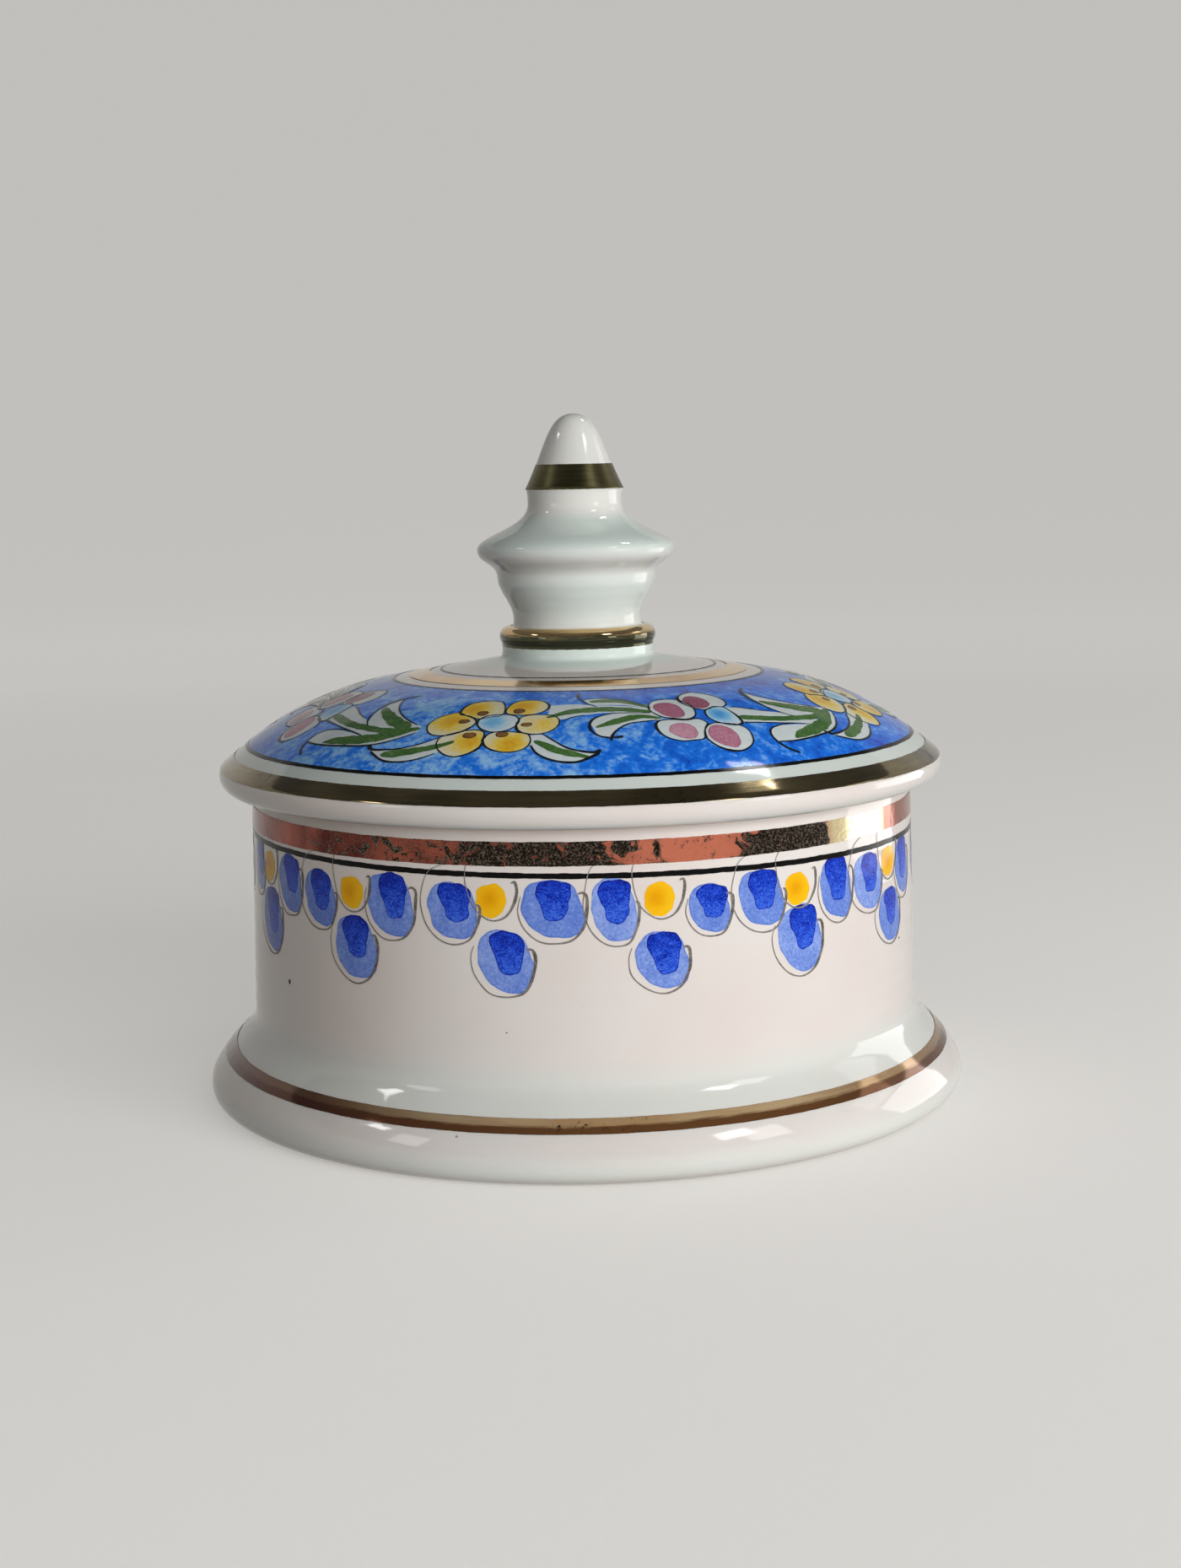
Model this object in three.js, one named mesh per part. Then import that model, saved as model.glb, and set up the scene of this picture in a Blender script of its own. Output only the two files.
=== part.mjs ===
// A round lidded trinket jar of glazed earthenware: a thrown jar on a spreading foot ledge, a domed lid
// that sits on its rim, and a finial knob that is cast hollow and joined to the lid's collar with slip.
// Millimetres, +Z up. The origin is the middle of the foot ring's ground face, which stands on the table.

import * as THREE from 'three';

// Foot of the jar
const FOOT_RADIUS = 60.2;
const FOOT_WIDEST_HEIGHT = 2.5;
const FOOT_RING_OUTER_RADIUS = 56.9;
const FOOT_RING_WIDTH = 4.9;
const FOOT_RECESS_DEPTH = 3.0;
const FOOT_RECESS_DRAFT = 1.5;

// Ledge: the ogee that runs from the widest part of the foot up into the wall
const LEDGE_TOP_HEIGHT = 13.7;
const LEDGE_SHOULDER_FULLNESS = 4.1;
const LEDGE_NECK_FULLNESS = 3.6;

// Wall, mouth and floor of the jar
const WALL_FOOT_RADIUS = 52.85;
const WALL_RIM_RADIUS = 52.0;
const WALL_THICKNESS = 4.6;
const JAR_HEIGHT = 49.0;
const RIM_ROUNDING = 0.8;
const FLOOR_THICKNESS = 5.5;
const FLOOR_CORNER_RADIUS = 8.0;

// Lid: rolled edge, flat seat and the flange that keeps it centred in the mouth
const FLANGE_CLEARANCE = 1.0;
const FLANGE_THICKNESS = 3.2;
const FLANGE_DEPTH = 4.0;
const FLANGE_ROUNDING = 1.2;
const LID_RADIUS = 57.0;
const LID_SEAT_RADIUS = 54.8;
const LID_EDGE_HEIGHT = 2.5;
const LID_EDGE_TOP_ROUNDING = 1.7;

// Lid: dome, flatter crown and the collar that carries the knob
const DOME_FOOT_RADIUS = 53.5;
const DOME_CURVE_RADIUS = 48.0;
const DOME_FOOT_SLOPE = 38.7;
const CROWN_SLOPE = 9.5;
const LID_THICKNESS = 4.5;
const COLLAR_RADIUS = 11.95;
const COLLAR_HEIGHT = 21.0;
const COLLAR_FILLET = 1.6;
const VENT_RADIUS = 4.0;

// Knob: gilded bead at its foot, then the waisted stem
const BEAD_RADIUS = 12.3;
const BEAD_HEIGHT = 3.1;
const BEAD_ROUNDING = 1.55;
const BEAD_START_ANGLE = -40;
const BEAD_END_ANGLE = 80;
const WAIST_RADIUS = 10.1;
const WAIST_HEIGHT = 4.3;
const STEM_TOP_RADIUS = 12.5;
const STEM_TOP_HEIGHT = 10.9;
const STEM_FLARE_PULL = 2.3;

// Knob: the undercut cap and the neck above it
const CAP_RADIUS = 15.55;
const CAP_HEIGHT = 15.1;
const CAP_UNDERSIDE_PULL = 2.1;
const CAP_TOP_PULL = 2.5;
const NECK_RADIUS = 7.4;
const NECK_HEIGHT = 22.2;
const NECK_PULL = 3.9;

// Knob: the pointed finial with its lip, and the bore that casting leaves
const FINIAL_LIP_RADIUS = 7.7;
const FINIAL_LIP_HEIGHT = 24.4;
const FINIAL_SIDE_RADIUS = 4.4;
const FINIAL_SIDE_HEIGHT = 30.9;
const FINIAL_TIP_ROUNDNESS = 4.1;
const FINIAL_TIP_HEIGHT = 36.1;
const KNOB_BORE_RADIUS = 5.2;
const KNOB_BORE_DEPTH = 15.0;

// Facets round the axis
const BODY_SEGMENTS = 72;
const KNOB_SEGMENTS = 48;

// Each piece's glaze as it reads overall: the lid is mostly covered by its cobalt band
const jarGlaze = { color: 0xe3dddb, roughness: 0.16, metalness: 0.0 };
const lidGlaze = { color: 0x5a74b4, roughness: 0.18, metalness: 0.0 };
const knobGlaze = { color: 0xdcdedb, roughness: 0.14, metalness: 0.0 };

function point(radius, height) {
  return new THREE.Vector2(radius, height);
}

// Points along part of an ellipse, its angles measured in degrees from straight out
function arc(radius, height, across, up, startDegrees, endDegrees, steps) {
  const start = THREE.MathUtils.degToRad(startDegrees);
  const end = THREE.MathUtils.degToRad(endDegrees);
  const ellipse = new THREE.EllipseCurve(radius, height, across, up, start, end, endDegrees < startDegrees);
  return ellipse.getPoints(steps);
}

// Points along a smooth curve that leaves its start and reaches its end along the two pull points
function sweep(start, startPull, endPull, end, steps) {
  return new THREE.CubicBezierCurve(start, startPull, endPull, end).getPoints(steps);
}

// Neighbouring points closer than this are one point
const SAME_POINT = 1e-4;

function withoutRepeats(profile) {
  return profile.filter((p, i) => i === 0 || p.distanceTo(profile[i - 1]) > SAME_POINT);
}

// A solid of revolution about +Z. The profile runs anticlockwise: up the outside, down the inside.
function turned(name, profile, segments, glaze) {
  const geometry = new THREE.LatheGeometry(withoutRepeats(profile), segments);
  geometry.rotateX(Math.PI / 2);
  const mesh = new THREE.Mesh(geometry, new THREE.MeshStandardMaterial(glaze));
  mesh.name = name;
  return mesh;
}

// The jar: foot ring with its recess, ogee ledge, slightly tapered wall, flat rim and rounded floor
const MOUTH_RADIUS = WALL_RIM_RADIUS - WALL_THICKNESS;

function jarBody() {
  const ringInner = FOOT_RING_OUTER_RADIUS - FOOT_RING_WIDTH;
  const recess = ringInner - FOOT_RECESS_DRAFT;
  const footEdge = FOOT_RADIUS - FOOT_RING_OUTER_RADIUS;
  const floor = FOOT_RECESS_DEPTH + FLOOR_THICKNESS;
  const underside = [
    point(0, FOOT_RECESS_DEPTH),
    point(recess, FOOT_RECESS_DEPTH),
    point(ringInner, 0),
  ];
  const edge = arc(
    FOOT_RING_OUTER_RADIUS, FOOT_WIDEST_HEIGHT, footEdge, FOOT_WIDEST_HEIGHT, -90, 0, 5);
  const ledge = sweep(
    point(FOOT_RADIUS, FOOT_WIDEST_HEIGHT),
    point(FOOT_RADIUS, FOOT_WIDEST_HEIGHT + LEDGE_SHOULDER_FULLNESS),
    point(WALL_FOOT_RADIUS, LEDGE_TOP_HEIGHT - LEDGE_NECK_FULLNESS),
    point(WALL_FOOT_RADIUS, LEDGE_TOP_HEIGHT), 12);
  const rimLevel = JAR_HEIGHT - RIM_ROUNDING;
  const rim = [
    ...arc(WALL_RIM_RADIUS - RIM_ROUNDING, rimLevel, RIM_ROUNDING, RIM_ROUNDING, 0, 90, 2),
    ...arc(MOUTH_RADIUS + RIM_ROUNDING, rimLevel, RIM_ROUNDING, RIM_ROUNDING, 90, 180, 2),
  ];
  const corner = arc(
    MOUTH_RADIUS - FLOOR_CORNER_RADIUS, floor + FLOOR_CORNER_RADIUS,
    FLOOR_CORNER_RADIUS, FLOOR_CORNER_RADIUS, 0, -90, 5);
  const profile = [...underside, ...edge, ...ledge, ...rim, ...corner, point(0, floor)];
  return turned('jar_body', profile, BODY_SEGMENTS, jarGlaze);
}

// The lid, with its seat at height zero: flange, rolled edge, dome, crown, collar and vent hole
function lid() {
  const flangeOuter = MOUTH_RADIUS - FLANGE_CLEARANCE;
  const flangeInner = flangeOuter - FLANGE_THICKNESS;
  const footSlope = THREE.MathUtils.degToRad(DOME_FOOT_SLOPE);
  const crownSlope = THREE.MathUtils.degToRad(CROWN_SLOPE);

  // Flange, from its inner lower edge round to the seat
  const flangeRound = Math.min(FLANGE_ROUNDING, FLANGE_THICKNESS / 2);
  const flange = [
    ...arc(flangeInner + flangeRound, flangeRound - FLANGE_DEPTH, flangeRound, flangeRound, 180, 270, 2),
    ...arc(flangeOuter - flangeRound, flangeRound - FLANGE_DEPTH, flangeRound, flangeRound, 270, 360, 2),
    point(flangeOuter, 0),
  ];

  // Rolled edge: a full round below, a tighter one above that ends on the slope of the dome
  const roll = LID_RADIUS - LID_SEAT_RADIUS;
  const lowerEdge = arc(LID_SEAT_RADIUS, LID_EDGE_HEIGHT, roll, LID_EDGE_HEIGHT, -90, 0, 5);
  const upperEdge = arc(
    LID_RADIUS - LID_EDGE_TOP_ROUNDING, LID_EDGE_HEIGHT,
    LID_EDGE_TOP_ROUNDING, LID_EDGE_TOP_ROUNDING, 0, 90 - DOME_FOOT_SLOPE, 3);
  const edgeEnd = upperEdge[upperEdge.length - 1];

  // The dome's arc is tangent to the straight slope above the edge and to the crown
  const domeFootHeight = edgeEnd.y + (edgeEnd.x - DOME_FOOT_RADIUS) * Math.tan(footSlope);
  const domeCentre = point(
    DOME_FOOT_RADIUS - DOME_CURVE_RADIUS * Math.sin(footSlope),
    domeFootHeight - DOME_CURVE_RADIUS * Math.cos(footSlope));
  const domeArc = (radius, startDegrees, endDegrees, steps) =>
    arc(domeCentre.x, domeCentre.y, radius, radius, startDegrees, endDegrees, steps);
  const outerDome = domeArc(DOME_CURVE_RADIUS, 90 - DOME_FOOT_SLOPE, 90 - CROWN_SLOPE, 8);
  const domeTop = outerDome[outerDome.length - 1];
  const crownHeight = (radius) => domeTop.y + (domeTop.x - radius) * Math.tan(crownSlope);

  // Collar, with a small fillet where it rises from the crown
  const filletFoot = COLLAR_RADIUS + COLLAR_FILLET;
  const collar = [
    ...sweep(
      point(filletFoot, crownHeight(filletFoot)),
      point(COLLAR_RADIUS, crownHeight(COLLAR_RADIUS)),
      point(COLLAR_RADIUS, crownHeight(COLLAR_RADIUS)),
      point(COLLAR_RADIUS, crownHeight(COLLAR_RADIUS) + COLLAR_FILLET), 3),
    point(COLLAR_RADIUS, COLLAR_HEIGHT),
    point(VENT_RADIUS, COLLAR_HEIGHT),
  ];

  // The underside keeps one thickness below crown and dome, down to the inside of the flange
  const innerCurve = DOME_CURVE_RADIUS - LID_THICKNESS;
  const innerStart = THREE.MathUtils.radToDeg(Math.acos((flangeInner - domeCentre.x) / innerCurve));
  const innerDome = domeArc(innerCurve, 90 - CROWN_SLOPE, innerStart, 6);
  const innerTop = innerDome[0];
  const ventFoot = point(VENT_RADIUS, innerTop.y + (innerTop.x - VENT_RADIUS) * Math.tan(crownSlope));

  const outside = [...flange, ...lowerEdge, ...upperEdge, ...outerDome, ...collar];
  const inside = [ventFoot, ...innerDome];
  return turned('lid', [...outside, ...inside, flange[0].clone()], BODY_SEGMENTS, lidGlaze);
}

// The knob, standing at height zero on the collar: bore, bead, waisted stem, undercut cap, neck, finial
function lidKnob() {
  const bore = [
    ...arc(0, KNOB_BORE_DEPTH - KNOB_BORE_RADIUS, KNOB_BORE_RADIUS, KNOB_BORE_RADIUS, 90, 0, 4),
    point(KNOB_BORE_RADIUS, 0),
  ];

  // Bead: it swells out from the collar's own width
  const bead = [
    point(COLLAR_RADIUS, 0),
    ...arc(
      BEAD_RADIUS - BEAD_ROUNDING, BEAD_HEIGHT - BEAD_ROUNDING,
      BEAD_ROUNDING, BEAD_ROUNDING, BEAD_START_ANGLE, BEAD_END_ANGLE, 6),
  ];

  // Stem: a tight hollow over the bead, then a long flare to the cap
  const beadTop = bead[bead.length - 1];
  const waist = point(WAIST_RADIUS, WAIST_HEIGHT);
  const waistHollow = point(WAIST_RADIUS, beadTop.y);
  const stemTop = point(STEM_TOP_RADIUS, STEM_TOP_HEIGHT);
  const stem = [
    ...sweep(beadTop, waistHollow, waistHollow, waist, 2),
    ...sweep(
      waist, point(WAIST_RADIUS, WAIST_HEIGHT + STEM_FLARE_PULL),
      point(STEM_TOP_RADIUS, STEM_TOP_HEIGHT - STEM_FLARE_PULL), stemTop, 5),
  ];

  // Cap: its underside turns out to a rounded edge, its top falls back in an ogee to the neck
  const capEdge = point(CAP_RADIUS, CAP_HEIGHT);
  const neck = point(NECK_RADIUS, NECK_HEIGHT);
  const cap = [
    ...sweep(
      stemTop, point(STEM_TOP_RADIUS, STEM_TOP_HEIGHT + CAP_UNDERSIDE_PULL),
      point(CAP_RADIUS, CAP_HEIGHT - CAP_UNDERSIDE_PULL), capEdge, 6),
    ...sweep(
      capEdge, point(CAP_RADIUS, CAP_HEIGHT + CAP_TOP_PULL),
      point(NECK_RADIUS, NECK_HEIGHT - NECK_PULL), neck, 8),
  ];

  // Finial: a small lip over the neck, then a full-sided point with a round tip
  const lip = point(FINIAL_LIP_RADIUS, FINIAL_LIP_HEIGHT);
  const finial = [
    ...sweep(neck, point(NECK_RADIUS, FINIAL_LIP_HEIGHT), lip, lip, 2),
    ...sweep(
      lip, point(FINIAL_SIDE_RADIUS, FINIAL_SIDE_HEIGHT),
      point(FINIAL_TIP_ROUNDNESS, FINIAL_TIP_HEIGHT), point(0, FINIAL_TIP_HEIGHT), 9),
  ];
  return turned('lid_knob', [...bore, ...bead, ...stem, ...cap, ...finial], KNOB_SEGMENTS, knobGlaze);
}

// The lid rests on the rim, face to face, and carries the knob on its collar
const knob = lidKnob();
knob.position.z = COLLAR_HEIGHT;

const lidGroup = new THREE.Group();
lidGroup.position.z = JAR_HEIGHT;
lidGroup.add(lid(), knob);

const group = new THREE.Group();
group.add(jarBody(), lidGroup);

export default group;
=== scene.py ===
import math
import random

import bpy
import numpy as np
from mathutils import Matrix, Vector


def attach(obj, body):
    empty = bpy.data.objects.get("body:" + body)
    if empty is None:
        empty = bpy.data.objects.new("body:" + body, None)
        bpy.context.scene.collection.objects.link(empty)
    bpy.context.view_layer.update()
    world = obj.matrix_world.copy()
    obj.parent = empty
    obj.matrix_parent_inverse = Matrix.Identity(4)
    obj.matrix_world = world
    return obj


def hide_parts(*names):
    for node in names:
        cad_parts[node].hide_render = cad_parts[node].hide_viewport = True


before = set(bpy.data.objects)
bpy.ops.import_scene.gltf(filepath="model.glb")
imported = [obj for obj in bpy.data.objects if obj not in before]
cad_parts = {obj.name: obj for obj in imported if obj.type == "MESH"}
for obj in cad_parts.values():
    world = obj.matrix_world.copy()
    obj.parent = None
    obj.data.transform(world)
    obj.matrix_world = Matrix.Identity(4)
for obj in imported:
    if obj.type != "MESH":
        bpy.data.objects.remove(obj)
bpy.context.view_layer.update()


# Camera
# It stands where the photographer's stood: close in front and level with the knob's point,
# tipped down by eight degrees and leaning by about one, with the picture's long side upright.
# Sizes are named in millimetres, and MM makes them metres.
MM = 0.001
CAMERA_DISTANCE = 359.1
CAMERA_SIDE = -0.2
CAMERA_HEIGHT = 98.0
CAMERA_DOWN = 8.0
CAMERA_TURN = 0.281
CAMERA_LEAN = -1.2
CAMERA_LENS = 52.07
CAMERA_LONG_SIDE = 36.0

down = math.radians(CAMERA_DOWN)
turn = math.radians(CAMERA_TURN)
forward = Vector((math.sin(turn) * math.cos(down), math.cos(turn) * math.cos(down), -math.sin(down)))
level_right = Vector((math.cos(turn), -math.sin(turn), 0))
level_up = level_right.cross(forward)
lean = math.radians(CAMERA_LEAN)
right = math.cos(lean) * level_right + math.sin(lean) * level_up
up = math.cos(lean) * level_up - math.sin(lean) * level_right

lens = bpy.data.cameras.new("photo_camera")
lens.sensor_width = CAMERA_LONG_SIDE
lens.lens = CAMERA_LENS
lens.clip_start = 0.01
camera = bpy.data.objects.new("photo_camera", lens)
stand = Vector((CAMERA_SIDE, -CAMERA_DISTANCE, CAMERA_HEIGHT)) * MM
camera.matrix_world = Matrix.Translation(stand) @ Matrix((right, up, -forward)).transposed().to_4x4()
bpy.context.scene.collection.objects.link(camera)
bpy.context.scene.camera = camera


# Table and light
# A pale paper sweep lies flat under the jar and turns up all round it. A broad, low softbox at
# the right front lights the walls. Small windows and lamps, most of them only mirrored, give the
# highlights. Far from the jar the paper glows instead of taking light, so it stays even.
PAPER_FLAT_RADIUS = 1100
PAPER_TURN_RADIUS = 450
PAPER_HEIGHT = 950
PAPER_DROP = 0.05
PAPER_POINT_GAP = 120
PAPER_SEGMENTS = 96
PAPER_SEEN = "#d8d6d2"
PAPER_FAR = "#16150f"
PAPER_BOUNCE = "#bab7b3"
PAPER_GLOW = 0.52
PAPER_FAR_GLOW = 0.77
PAPER_FAR_FROM = 350
PAPER_FAR_TO = 750
SKY_STRENGTH = 0.15
LIGHT_AIM_HEIGHT = 50
SAME_POINT = 1e-4


def colour(code):
    """A colour written as the eye reads it, as the linear values that shaders take."""
    parts = [int(code[i:i + 2], 16) / 255 for i in (1, 3, 5)]
    return (*[p / 12.92 if p <= 0.04045 else ((p + 0.055) / 1.055) ** 2.4 for p in parts], 1)


def arc(radius, height, across, up, start, end, steps):
    """Points along part of an ellipse, its angles in degrees from straight out."""
    turns = [math.radians(start + (end - start) * i / steps) for i in range(steps + 1)]
    return [(radius + across * math.cos(a), height + up * math.sin(a)) for a in turns]


def filled(profile, gap):
    """The same profile with points added wherever two neighbours are further apart than the gap."""
    points = [profile[0]]
    for end in profile[1:]:
        start = points[-1]
        length = math.dist(start, end)
        if length < SAME_POINT:
            continue
        count = math.ceil(length / gap)
        points += [
            (start[0] + (end[0] - start[0]) * i / count, start[1] + (end[1] - start[1]) * i / count)
            for i in range(1, count + 1)]
    return points


def new_object(name, points, faces):
    """A smooth mesh from points in metres, with its object at the origin."""
    mesh = bpy.data.meshes.new(name)
    mesh.from_pydata(points, [], faces)
    mesh.shade_smooth()
    obj = bpy.data.objects.new(name, mesh)
    bpy.context.scene.collection.objects.link(obj)
    return obj


def turned(name, profile, segments, wander=None):
    """A turned surface from a profile in millimetres that runs up the outside and down the inside."""
    turns = np.linspace(0, 2 * math.pi, segments, endpoint=False)
    rings, points, faces = [], [], []
    for radius, height in profile:
        if radius < SAME_POINT:
            rings.append([len(points)] * segments)
            points.append((0, 0, height * MM))
            continue
        reach = radius + (wander(turns, height) if wander else 0 * turns)
        rings.append(list(range(len(points), len(points) + segments)))
        points += [
            (r * math.sin(a) * MM, -r * math.cos(a) * MM, height * MM) for r, a in zip(reach, turns)]
    for lower, upper in zip(rings, rings[1:]):
        for i in range(segments):
            j = (i + 1) % segments
            corners = [lower[i], lower[j], upper[j], upper[i]]
            faces.append(list(dict.fromkeys(corners)))
    return new_object(name, points, faces)


class Finish:
    """A shader finish under way: a principled shader and the nodes that feed it."""

    def __init__(self, name):
        self.material = bpy.data.materials.new(name)
        self.material.use_nodes = True
        self.tree = self.material.node_tree
        self.shader = self.tree.nodes["Principled BSDF"]

    def feed(self, socket, value):
        """Joins a socket to another node's output, or gives it a fixed value."""
        if isinstance(value, bpy.types.NodeSocket):
            self.tree.links.new(value, socket)
        else:
            socket.default_value = value

    def set(self, **values):
        """Gives the shader these values, or the outputs that drive them."""
        for name, value in values.items():
            self.feed(self.shader.inputs[name.replace("_", " ")], value)

    def node(self, kind, output=0, **values):
        """A new node with these inputs, by one of its outputs."""
        made = self.tree.nodes.new(kind)
        for name, value in values.items():
            self.feed(made.inputs[name.replace("_", " ")], value)
        return made.outputs[output]

    def place(self, stretch=(1, 1, 1)):
        """Where a point lies on the piece, in metres, stretched along the axes if asked."""
        made = self.tree.nodes.new("ShaderNodeTexCoord")
        if stretch == (1, 1, 1):
            return made.outputs["Object"]
        return self.node("ShaderNodeMapping", Vector=made.outputs["Object"], Scale=stretch)

    def noise(self, grain_mm, detail=3.0, roughness=0.55, distortion=0.0, place=None):
        """Smooth mottling whose blotches are about grain_mm across."""
        return self.node(
            "ShaderNodeTexNoise", Vector=place or self.place(), Scale=1 / (grain_mm * MM),
            Detail=detail, Roughness=roughness, Distortion=distortion)

    def mark(self, name):
        """A value that the mesh carries at each point."""
        made = self.tree.nodes.new("ShaderNodeAttribute")
        made.attribute_name = name
        return made.outputs["Fac"]

    def maths(self, operation, first, second=0.0, third=0.0):
        """One sum on up to three values."""
        made = self.tree.nodes.new("ShaderNodeMath")
        made.operation = operation
        for socket, value in zip(made.inputs, (first, second, third)):
            self.feed(socket, value)
        return made.outputs[0]

    def fitted(self, value, low, high, to_low=0.0, to_high=1.0):
        """The value, stretched so that low and high become to_low and to_high, and held there."""
        made = self.tree.nodes.new("ShaderNodeMapRange")
        names = ("Value", "From Min", "From Max", "To Min", "To Max")
        for name, given in zip(names, (value, low, high, to_low, to_high)):
            self.feed(made.inputs[name], given)
        return made.outputs[0]

    def mix(self, share, first, second):
        """One colour going over to another by a share from 0 to 1."""
        made = self.tree.nodes.new("ShaderNodeMix")
        made.data_type = "RGBA"
        for index, value in ((0, share), (6, first), (7, second)):
            self.feed(made.inputs[index], colour(value) if isinstance(value, str) else value)
        return made.outputs[2]

    def ramp(self, value, *stops):
        """Colours laid out along a value, as pairs of a place from 0 to 1 and a colour."""
        made = self.tree.nodes.new("ShaderNodeValToRGB")
        steps = made.color_ramp.elements
        while len(steps) < len(stops):
            steps.new(0.5)
        for step, (share, code) in zip(steps, stops):
            step.position = share
            step.color = colour(code)
        self.feed(made.inputs["Fac"], value)
        return made.outputs["Color"]

    def relief(self, height, depth_mm):
        """Small relief: a height from 0 to 1 that stands for depth_mm."""
        return self.node("ShaderNodeBump", Strength=1.0, Distance=depth_mm * MM, Height=height)

    def off_middle(self, noise):
        """How far a noise lies above its middle value, below it if negative."""
        return self.maths("SUBTRACT", noise, 0.5)


def softbox(name, azimuth, elevation, distance, width, height, watts, mirrored=True, lights=True):
    """An area light aimed at the jar. Azimuth 0 is the front, and it grows towards the right.

    One that isn't mirrored shows in no glossy surface, and one that doesn't light shows only there.
    """
    side, rise = math.radians(azimuth), math.radians(elevation)
    toward = Vector((math.sin(side) * math.cos(rise), -math.cos(side) * math.cos(rise), math.sin(rise)))
    aim = Vector((0, 0, LIGHT_AIM_HEIGHT * MM))
    data = bpy.data.lights.new(name, "AREA")
    data.shape = "RECTANGLE"
    data.size, data.size_y = width * MM, height * MM
    data.energy = watts
    lamp = bpy.data.objects.new(name, data)
    facing = toward.to_track_quat("Z", "Y").to_matrix().to_4x4()
    lamp.matrix_world = Matrix.Translation(aim + toward * distance * MM) @ facing
    lamp.visible_camera = False
    lamp.visible_glossy = mirrored
    lamp.visible_diffuse = lights
    bpy.context.scene.collection.objects.link(lamp)


paper = turned("paper_sweep", filled([
    (0, -PAPER_DROP), (PAPER_FLAT_RADIUS, -PAPER_DROP),
    *arc(PAPER_FLAT_RADIUS, PAPER_TURN_RADIUS - PAPER_DROP, PAPER_TURN_RADIUS, PAPER_TURN_RADIUS, -90, 0, 16),
    (PAPER_FLAT_RADIUS + PAPER_TURN_RADIUS, PAPER_HEIGHT)], PAPER_POINT_GAP)[::-1], PAPER_SEGMENTS)
sheet = Finish("paper")
looked_at = sheet.tree.nodes.new("ShaderNodeLightPath").outputs
mirrored = sheet.maths("MAXIMUM", looked_at["Is Glossy Ray"], looked_at["Is Transmission Ray"])
seen = sheet.maths("MAXIMUM", looked_at["Is Camera Ray"], mirrored)
away = sheet.tree.nodes.new("ShaderNodeVectorMath")
away.operation = "LENGTH"
sheet.feed(away.inputs[0], sheet.place())
far = sheet.fitted(away.outputs["Value"], PAPER_FAR_FROM * MM, PAPER_FAR_TO * MM)
glow = sheet.fitted(far, 0, 1, PAPER_GLOW, PAPER_FAR_GLOW)
sheet.set(
    Base_Color=sheet.mix(seen, PAPER_BOUNCE, sheet.mix(far, PAPER_SEEN, PAPER_FAR)), Roughness=0.9,
    Emission_Color=colour(PAPER_SEEN), Emission_Strength=sheet.maths("MULTIPLY", seen, glow),
    Normal=sheet.relief(sheet.noise(0.8), 0.02))
paper.data.materials.append(sheet.material)

softbox("broad_right_front", 33, 16, 1100, 1150, 440, 8.4, mirrored=False)
softbox("key_right_front", 41, 1, 900, 190, 150, 2.1, mirrored=False)
softbox("window_right_front", 54, 46, 850, 150, 105, 0.42, lights=False)
softbox("window_right_top", 121.5, 59.5, 850, 62, 95, 0.55, lights=False)
softbox("window_right_side", 110, 8, 900, 120, 420, 0.6, mirrored=False)
softbox("sky_right_side", 107, 29, 900, 260, 150, 0.14, lights=False)
softbox("window_low_right", 107, 1.4, 240, 130, 104, 0.1, lights=False)
softbox("window_left", -82, 43, 900, 120, 60, 0.24, lights=False)
softbox("lamp_near_right", 51, 20, 160, 34, 34, 0.012, lights=False)
softbox("lamp_near_left", -52, 20, 160, 26, 26, 0.006, lights=False)

bpy.context.scene.view_settings.view_transform = "Standard"
sky = bpy.data.worlds.new("studio")
sky.use_nodes = True
sky_light = sky.node_tree.nodes["Background"]
sky_light.inputs["Color"].default_value = (1, 1, 1, 1)
sky_light.inputs["Strength"].default_value = SKY_STRENGTH
bpy.context.scene.world = sky


# Jar
# A thrown earthenware jar: foot ring turned from below, ogee ledge, nearly straight wall, and a
# rim that is wiped clean of glaze so that the lid doesn't stick to it in the kiln.
FOOT_RADIUS = 60.2
FOOT_WIDEST_HEIGHT = 2.5
FOOT_RING_OUTER_RADIUS = 56.9
FOOT_RING_WIDTH = 4.9
FOOT_RECESS_DEPTH = 3.0
FOOT_RECESS_DRAFT = 1.5
LEDGE_TOP_HEIGHT = 13.7
LEDGE_SHOULDER_FULLNESS = 4.1
LEDGE_NECK_FULLNESS = 3.6
WALL_FOOT_RADIUS = 52.85
WALL_RIM_RADIUS = 52.0
WALL_THICKNESS = 4.6
JAR_HEIGHT = 49.0
RIM_ROUNDING = 0.8
FLOOR_THICKNESS = 5.5
FLOOR_CORNER_RADIUS = 8.0
MOUTH_RADIUS = WALL_RIM_RADIUS - WALL_THICKNESS

GLAZE_WHITE = "#e6e0db"
GLAZE_THICK = "#d5e0da"
GLAZE_WARM = "#e4d9d3"
BARE_CLAY = ("#c99b78", "#b98a69")
SPECK_BROWN = "#6d5647"
SPECK_SPACING = 4.5
SPECK_SCARCITY = 0.93
OVAL_STRAY = 0.07
LOBED_STRAY = 0.04
RIDGE_HEIGHT = 0.02
RIDGE_SPACING = 3.1
THICK_GLAZE_FROM = 7.5
JAR_POINT_GAP = 0.7
JAR_SEGMENTS = 288
CRISP_ANGLE = 38


def sweep(start, start_pull, end_pull, end, steps):
    """Points along a smooth curve that leaves its start and reaches its end along the pulls."""
    points = []
    for i in range(steps + 1):
        t = i / steps
        weights = ((1 - t) ** 3, 3 * t * (1 - t) ** 2, 3 * t * t * (1 - t), t ** 3)
        corners = (start, start_pull, end_pull, end)
        points.append(tuple(sum(w * c[k] for w, c in zip(weights, corners)) for k in (0, 1)))
    return points


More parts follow.
